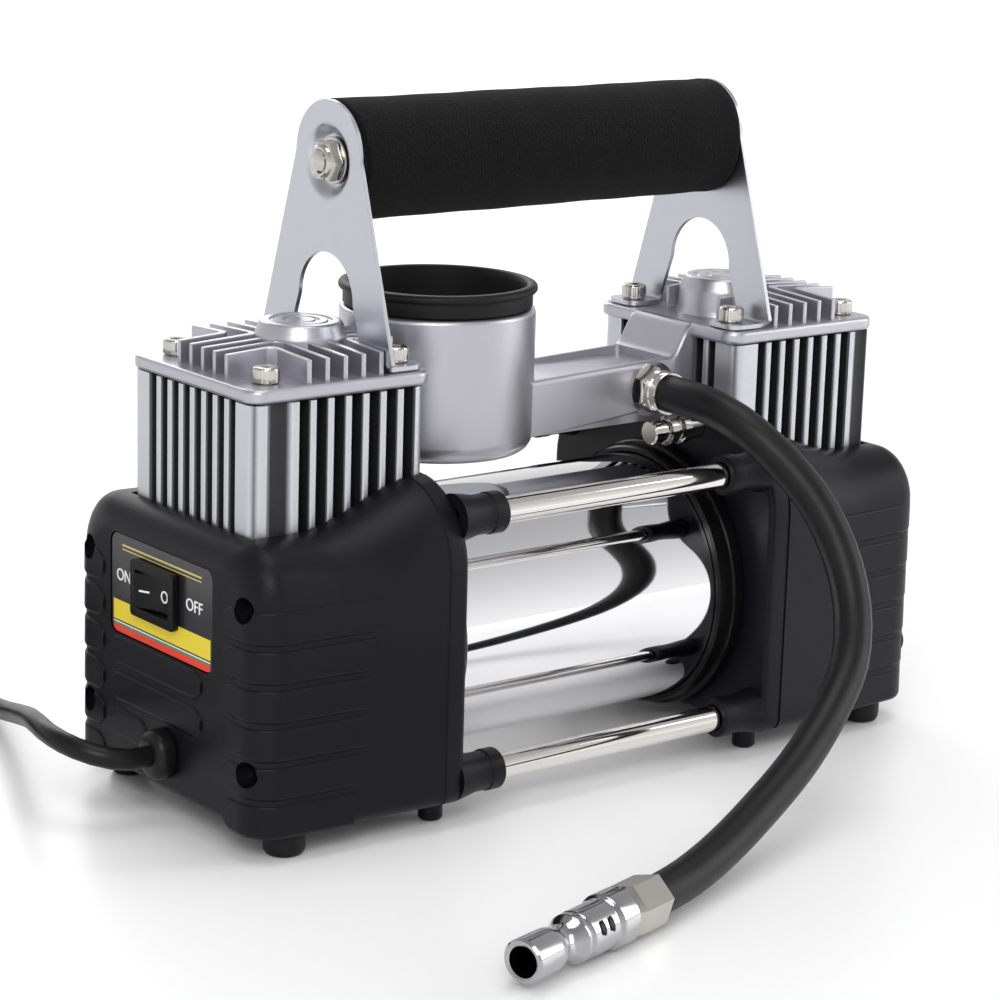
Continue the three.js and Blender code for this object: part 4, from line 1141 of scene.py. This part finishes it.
def headFins(side):
    x, t = side * head["x"], head["thick"] / 2
    endU, endV = head["halfX"] - 2.4, head["halfY"] - 2.4
    fins = []
    for su in (-1, 1):
        halfOpen = side > 0 and su < 0  # the duct's ramp takes this side of the right head
        for sv in (-1, 1):
            for ring in (1, 2):
                a = ring * head["pitch"]
                reach = endU
                if halfOpen:
                    if ring == 1:
                        reach = a + 0.5
                    else:
                        reach = a + 7.5
                c = 1.7
                shape = [(reach, a - t), (reach, a + t), (a + t + c, a + t), (a + t, a + t + c),
                    (a + t, endV), (a - t, endV), (a - t, a - t + c), (a - t + c, a - t)]
                if halfOpen and ring == 1:
                    shape = [(a + t, a - t), (a + t, endV), (a - t, endV), (a - t, a - t)]
                fins.append(finPrism(x, [(su * u, sv * v) for u, v in shape]))
        if not halfOpen:
            fins.append(finPrism(x, [(su * 4, -t), (su * endU, -t), (su * endU, t), (su * 4, t)]))
    for sv in (-1, 1):
        fins.append(finPrism(x, [(-t, sv * 4), (-t, sv * endV), (t, sv * endV), (t, sv * 4)]))
    return fins


def hubProfile():
    low = head["top"] - 0.6
    return [(0, low), (13, low), (12.6, head["top"] + 0.6), (12.2, head["top"] + 2),
        (12, head["finTop"] - 0.4), (11.7, head["finTop"] + 0.5), (10.7, 126.4), (10.2, 126.9),
        (9.6, 127), (8.2, 127), (7.9, 126.6), (7.1, 126.6), (6.8, 127), (4.9, 127), (4.6, 126.6),
        (3.8, 126.6), (3.5, 127), (0, 127)]


def finishedHead(side, label, node):
    x = side * head["x"]
    plate = prism(label + "Head", roundedBox(head["halfX"], head["halfY"], head["corner"], 10,
        (x, 0)), "z", head["bottom"], head["top"])
    finished(plate, "cast", edge=1.1, steps=4, crease=40, stands=node)
    fins = joined(label + "HeadFins", headFins(side))
    finished(fins, "cast", edge=0.35, steps=2)
    hub = spun(label + "HeadHub", hubProfile(), "z", (x - side * head["hubX"], 0, 0), 96)
    finished(hub, "cast", crease=40)


cup = {"x": -23.6, "y": 6.5, "radius": 26.3, "bottom": 87, "top": 125.6, "floor": 90}
duct = {"halfWidth": 12.5, "bottom": 90.6, "face": 52.1, "start": -8}


def makeCasting():
    ramp = [(42.5, 107.7)]
    for k in range(13):  # the S-shaped rise on to the head plate
        t = k / 12
        ramp.append((43.2 + 7.2 * t, 107.8 + 8.8 * t * t * (3 - 2 * t)))
    half = duct["halfWidth"]
    rings = []
    for x, z in [(duct["start"], 105.8), (20, 106.9), *ramp, (duct["face"] - 0.1, 116.6)]:
        ledge = 90.8 + x * 0.105
        low = duct["bottom"]
        ring = []
        for y, up in ((half - 1.5, z), (half - 0.4, z - 0.4), (half, z - 1.5), (half, ledge),
                (half - 1.0, ledge - 0.9), (half - 1.3, low), (-half + 1.3, low),
                (-half + 1.0, ledge - 0.9), (-half, ledge), (-half, z - 1.5),
                (-half + 0.4, z - 0.4), (-half + 1.5, z)):
            ring.append((x, y, max(up, low)))
        rings.append(ring)
    body = lofted("airDuct", rings)
    tray = prism("tray", roundedBox(19.6, half - 2.4, 2, 4, (23.4, 0)), "z", 105.4, 112)
    recess = rod("recess", 7.6, -half - 1, -half + 4, "y", outletPlace, 64)
    inner = rod("bowl", 24.5, 80, 140, "z", (cup["x"], cup["y"], 0), 96)
    combine(body, tray, recess, inner)
    finished(body, "cast", edge=0.4, crease=40)
    r = cup["radius"]
    low, top, floor = cup["bottom"], cup["top"], cup["floor"]
    profile = [(0, low), (r - 4.5, low), (r - 2.6, 87.4), (r - 1.2, 88.4), (r - 0.4, 89.8),
        (r, 91.8), (r, 124.4), (r - 0.3, 125.2), (r - 0.9, top), (r - 1.7, top), (r - 2.2, 125.1),
        (r - 2.2, floor), (0, floor)]
    bowl = spun("gaugeCup", profile, "z", (cup["x"], cup["y"], 0), 160)
    finished(bowl, "cast", crease=40)


def makeHeads():
    for side, label in halves:
        cylinderBlock(side, label)
    finishedHead(-1, "left", ["left_cylinder_head"])
    finishedHead(1, "right", ["right_head_casting"])
    makeCasting()
    for side, label in halves:
        spots = []
        for su in (-1, 1):
            for sv in (-1, 1):
                seat = bracketSeat if su * side < 0 else plateSeat
                across = head["leftOuterScrew" if side < 0 and su < 0 else "screw"]
                spots.append((side * head["x"] + su * across, sv * head["screw"], seat))
        ribbed = knurl(3.5, 24, 0.13)
        screw = spun("capScrew", [(0, -8), (1.9, -8), (1.9, 0), (3.25, 0), (ribbed, 0.35),
            (ribbed, 3.1), (3.3, 3.55), (3.0, 3.8), (hexagon(3.2), 3.8), (hexagon(3.0), 3.5),
            (hexagon(3.0), 1.6), (0, 1.2)], "z", sides=96)
        heads = grown(label + "CapScrews", "pieceOnPoints", spots, Piece=screw, Size=1.0,
            Material=looks["nickel"].material)
        discard(screw)
        nodes = ["%s_%s_%s_screw" % (label, a, b) for a in ("outer", "inner")
            for b in ("front", "rear")]
        finished(heads, "nickel", stands=nodes, crease=35)


makeHeads()
print("cylinders, heads and the gauge casting are made")


def makeGauge():
    centre = (cup["x"], cup["y"], 0)
    case = [(0, 91), (22.4, 91), (22.6, 91.3), (22.6, 120.7), (22.2, 121), (20.9, 121),
        (20.6, 120.7), (20.6, 112.4), (1.3, 112.4), (1.3, 110), (0, 110)]
    finished(spun("gaugeCase", case, "z", centre, 96), "white",
        stands=["gauge_case"])
    start, sweep, dial = math.radians(225), math.radians(-270), 112.45
    marks = []
    for count, length, width, radius in ((11, 3.2, 0.55, 17.8), (51, 1.7, 0.25, 18.6)):
        marks.append(grown("marks", "barsRound", Centre=(cup["x"] * mm, cup["y"] * mm, dial * mm),
            Radius=radius * mm, Count=count, From=start, Sweep=sweep,
            Bar=(length * mm, width * mm, 0.16 * mm), Material=looks["ink"].material))
    for k in range(6):
        angle = start + sweep * k / 5
        figure = writing(str(k * 30), 3.6)
        figure.data.transform(Matrix.Translation(((cup["x"] + 12.6 * math.cos(angle)) * mm,
            (cup["y"] + 12.6 * math.sin(angle)) * mm, dial * mm)))
        marks.append(figure)
    finished(joined("dialMarks", marks), "ink")
    blade = prism("gaugeNeedle", [(-1.0, -5), (1.0, -5), (0.6, 2), (0.25, 17.3), (-0.25, 17.3),
        (-0.6, 2)], "z", 113.6, 114.3)
    hub = spun("hub", [(0, 110.4), (0.9, 110.4), (0.9, 113.2), (2.1, 113.2), (2.4, 113.5),
        (2.4, 114.8), (2.0, 115.2), (0, 115.2)], sides=40)
    needle = joined("gaugeNeedle", [blade, hub])
    needle.data.transform(Matrix.Translation((cup["x"] * mm, cup["y"] * mm, 0))
        @ Matrix.Rotation(math.radians(135), 4, "Z"))
    finished(needle, "needle", body="needle", stands=["gauge_needle"])
    lens = [(0, 117.6), (20.0, 117.6), (20.2, 117.8), (20.2, 119), (20.0, 119.2), (0, 119.2)]
    finished(spun("gaugeLens", lens, "z", centre, 96), "lens",
        stands=["gauge_lens"])
    boot = [(22.95, 117), (23.8, 117), (23.8, 125.8), (25.1, 126), (25.4, 126.4), (25.4, 129),
        (25.2, 129.5), (25.3, 129.9), (26.3, 130.1), (26.6, 130.5), (26.6, 131.3), (26.3, 131.8),
        (25.7, 132.1), (24.4, 132.2), (23.8, 131.7), (23.4, 130.4), (23.2, 127), (22.95, 122)]
    finished(spun("gaugeBoot", boot, "z", centre, 128), "foot",
        stands=["gauge_boot"], crease=45)


makeGauge()


bracket = {"x": 63.2, "thick": 1.2, "radius": 14.2, "topZ": 168.4, "z": 167, "low": 116.9,
    "flare": 0.311, "cut": 12.2, "cutZ": 131.5, "inner": 16.6, "bend": 2.2, "toe": 11, "dish": 2.6,
    "dishRadius": 9.95}


def makeOutlet():
    nut = spun("outletFitting", [(1.8, -8.8), (5.0, -8.8), (hexagon(11.3), -9.2),
        (hexagon(11.5), -9.7), (hexagon(11.5), -13.6), (hexagon(11.2), -14.2), (5.2, -14.6),
        (4.9, -14.8), (4.9, -17.8), (1.8, -17.8)], "y", outletPlace, 72)
    finished(nut, "nickel", stands=["outlet_fitting"], crease=20)
    clip = spun("hoseClip", [(5.15, -15.2), (5.8, -15.2), (6.0, -15.5), (6.0, -17.0), (5.7, -17.3),
        (5.7, -18.2), (6.0, -18.5), (6.0, -19.6), (5.8, -19.9), (5.15, -19.9)], "y", outletPlace,
        64)
    finished(clip, "nickel")
    pipe = spun("pressurePipe", [(0, 33), (3.0, 33), (3.4, 33.4), (3.4, 36.4), (3.1, 36.6),
        (3.1, 38.4), (4.1, 38.7), (4.1, 41), (3.2, 41.3), (3.2, 43), (4.1, 43.3), (4.1, 45.6),
        (3.3, 45.9), (3.3, 51.2), (0, 51.2)], "x", (0.5, -15.5, 88.2), 40)
    finished(pipe, "nickel")


def handleBracket(side, label):
    z, low, radius = bracket["z"], bracket["low"], bracket["radius"]
    bend, top = low + bracket["bend"], bracket["topZ"]
    lowWide = radius + (top - bend) * bracket["flare"]
    points = [(radius * math.cos(math.pi * i / 32), top + radius * math.sin(math.pi * i / 32))
        for i in range(33)]
    points += [(-lowWide, bend), (-bracket["inner"], bend)]
    for i in range(25):
        angle = math.pi * (1 - i / 24)
        points.append((bracket["cut"] * math.cos(angle), bracket["cutZ"]
            + bracket["cut"] * math.sin(angle)))
    points += [(bracket["inner"], bend), (lowWide, bend)]
    a, b = span(side, bracket["x"], bracket["x"] + bracket["thick"])
    sheet = prism(label + "Bracket", points, "x", a, b)
    x0, t, r = bracket["x"], bracket["thick"], bracket["bend"]
    for s in (-1, 1):  # the bent foot under each leg, with rounded toe corners
        path = []
        for k in range(9):
            angle = tau / 4 * k / 8
            share = math.sin(angle)
            path.append((x0 + t - r * (1 - math.cos(angle)), low + r - r * share,
                x0 - (r - t) * (1 - math.cos(angle)), low + r - (r - t) * share,
                bracket["inner"] - 1.1 * share, lowWide - 2.2 * share))
        edgeIn, edgeOut, toe = bracket["inner"] - 1.1, lowWide - 2.2, x0 - bracket["toe"]
        for k in range(9):
            angle = tau / 4 * k / 8
            trim = 3.4 * (1 - math.cos(angle))
            x = toe + 3.4 - 3.4 * math.sin(angle)
            path.append((x, low, x, low + t, edgeIn + trim, edgeOut - trim))
        rings = [[(side * xo, s * y0, zo), (side * xo, s * y1, zo), (side * xi, s * y1, zi),
            (side * xi, s * y0, zi)] for xo, zo, xi, zi, y0, y1 in path]
        combine(sheet, lofted("foot", rings), mode="UNION")
    combine(sheet, rod("hole", bracket["dishRadius"], a - 1, b + 1, "x", (0, 0, z), 96))
    finished(sheet, "bracket", edge=0.25, steps=2, crease=35,
        stands=[label + "_handle_bracket"])
    outward, inward = [], []
    for k in range(13):  # the pressed dish, from the sheet down to its flat floor
        share = k / 12
        fall = bracket["dish"] * share * share * (3 - 2 * share)
        r = bracket["dishRadius"] - 3.6 * share
        outward.append((r, x0 + t - fall))
        inward.append((r, x0 - fall))
    floor = x0 - bracket["dish"]
    dish = [(3.4, floor), *reversed(inward), *outward, (3.4, floor + t)]
    finished(spun(label + "Dish", [(r, side * h) for r, h in dish], "x", (0, 0, z), 96), "bracket",
        crease=50)


grip = {"half": 62.7, "radius": 15.7}


def makeHandle():
    for side, label in halves:
        handleBracket(side, label)
    centre = (0, 0, bracket["z"])
    inner = bracket["x"] - bracket["dish"] - 0.3
    out = bracket["x"] - bracket["dish"] + bracket["thick"] + 0.3
    bolt = [(0, -out - 5.9), (1.9, -out - 5.9), (2.6, -out - 5.5)]
    for k in range(3):  # thread past the nut
        bolt += [(2.95, -out - 5.3 + k * 0.3), (2.7, -out - 5.15 + k * 0.3)]
    bolt += [(2.9, -out - 4), (2.9, -inner), (6, -inner), (6, inner), (3, inner), (3, out + 0.4),
        (5.2, out + 0.4), (5.6, out + 0.9), (5.6, out + 3), (4.9, out + 3.8), (4.2, out + 4.2),
        (hexagon(4.2), out + 4.2), (hexagon(4.0), out + 2), (0, out + 1.6)]
    finished(spun("handleBolt", bolt, "x", centre, 72), "nickel", stands=["handle_bolt"],
        crease=35)
    washer = [(3.3, -out - 0.3), (5.9, -out - 0.3), (6.1, -out - 0.6), (5.9, -out - 1.0),
        (3.3, -out - 1.0)]
    nut = [(3.1, -out - 1.0), (4.6, -out - 1.0), (hexagon(9.5), -out - 1.2),
        (hexagon(9.8), -out - 1.5), (hexagon(9.8), -out - 3.2), (hexagon(9.4), -out - 3.7),
        (4.4, -out - 3.9), (4.2, -out - 4.6), (3.7, -out - 5.0), (3.1, -out - 5.0)]
    parts = [spun("washer", washer, "x", centre, 72), spun("nut", nut, "x", centre, 72)]
    finished(joined("handleLockNut", parts), "nickel",
        stands=["handle_lock_nut"], crease=20)
    half, r = grip["half"], grip["radius"]
    rings = [(6.4, -half + 3), (10.4, -half + 3), (10.4, -half + 0.3), (10.7, -half),
        (r - 1.0, -half), (r - 0.5, -half + 0.15), (r - 0.1, -half + 0.6), (r, -half + 1.3)]
    profile = list(rings)
    for k in range(41):
        h = (-half + 5) + (2 * half - 10) * k / 40
        profile.append((r - 0.14 + 0.12 * math.sin(0.21 * h + 1) * math.sin(0.09 * h), h))
    profile += [(rad, -h) for rad, h in reversed(rings)]
    finished(spun("foamGrip", profile, "x", centre, 128), "foam",
        stands=["foam_grip"], crease=60)


makeOutlet()
makeHandle()
print("gauge, outlet and handle are made")


inside = {"upper_magnet": "ferrite", "lower_magnet": "ferrite", "armature": "core",
    "motor_shaft": "steel", "left_crank": "steel", "right_crank": "steel", "left_piston": "cast",
    "right_piston": "cast", "left_piston_seal": "sealing", "right_piston_seal": "sealing",
    "left_valve_plate": "steel", "right_valve_plate": "steel",}
for node, look in inside.items():
    shape = bpy.data.objects[node]
    if shape.material_slots:
        for place in shape.material_slots:
            place.material = looks[look].material
    else:
        shape.data.materials.append(looks[look].material)
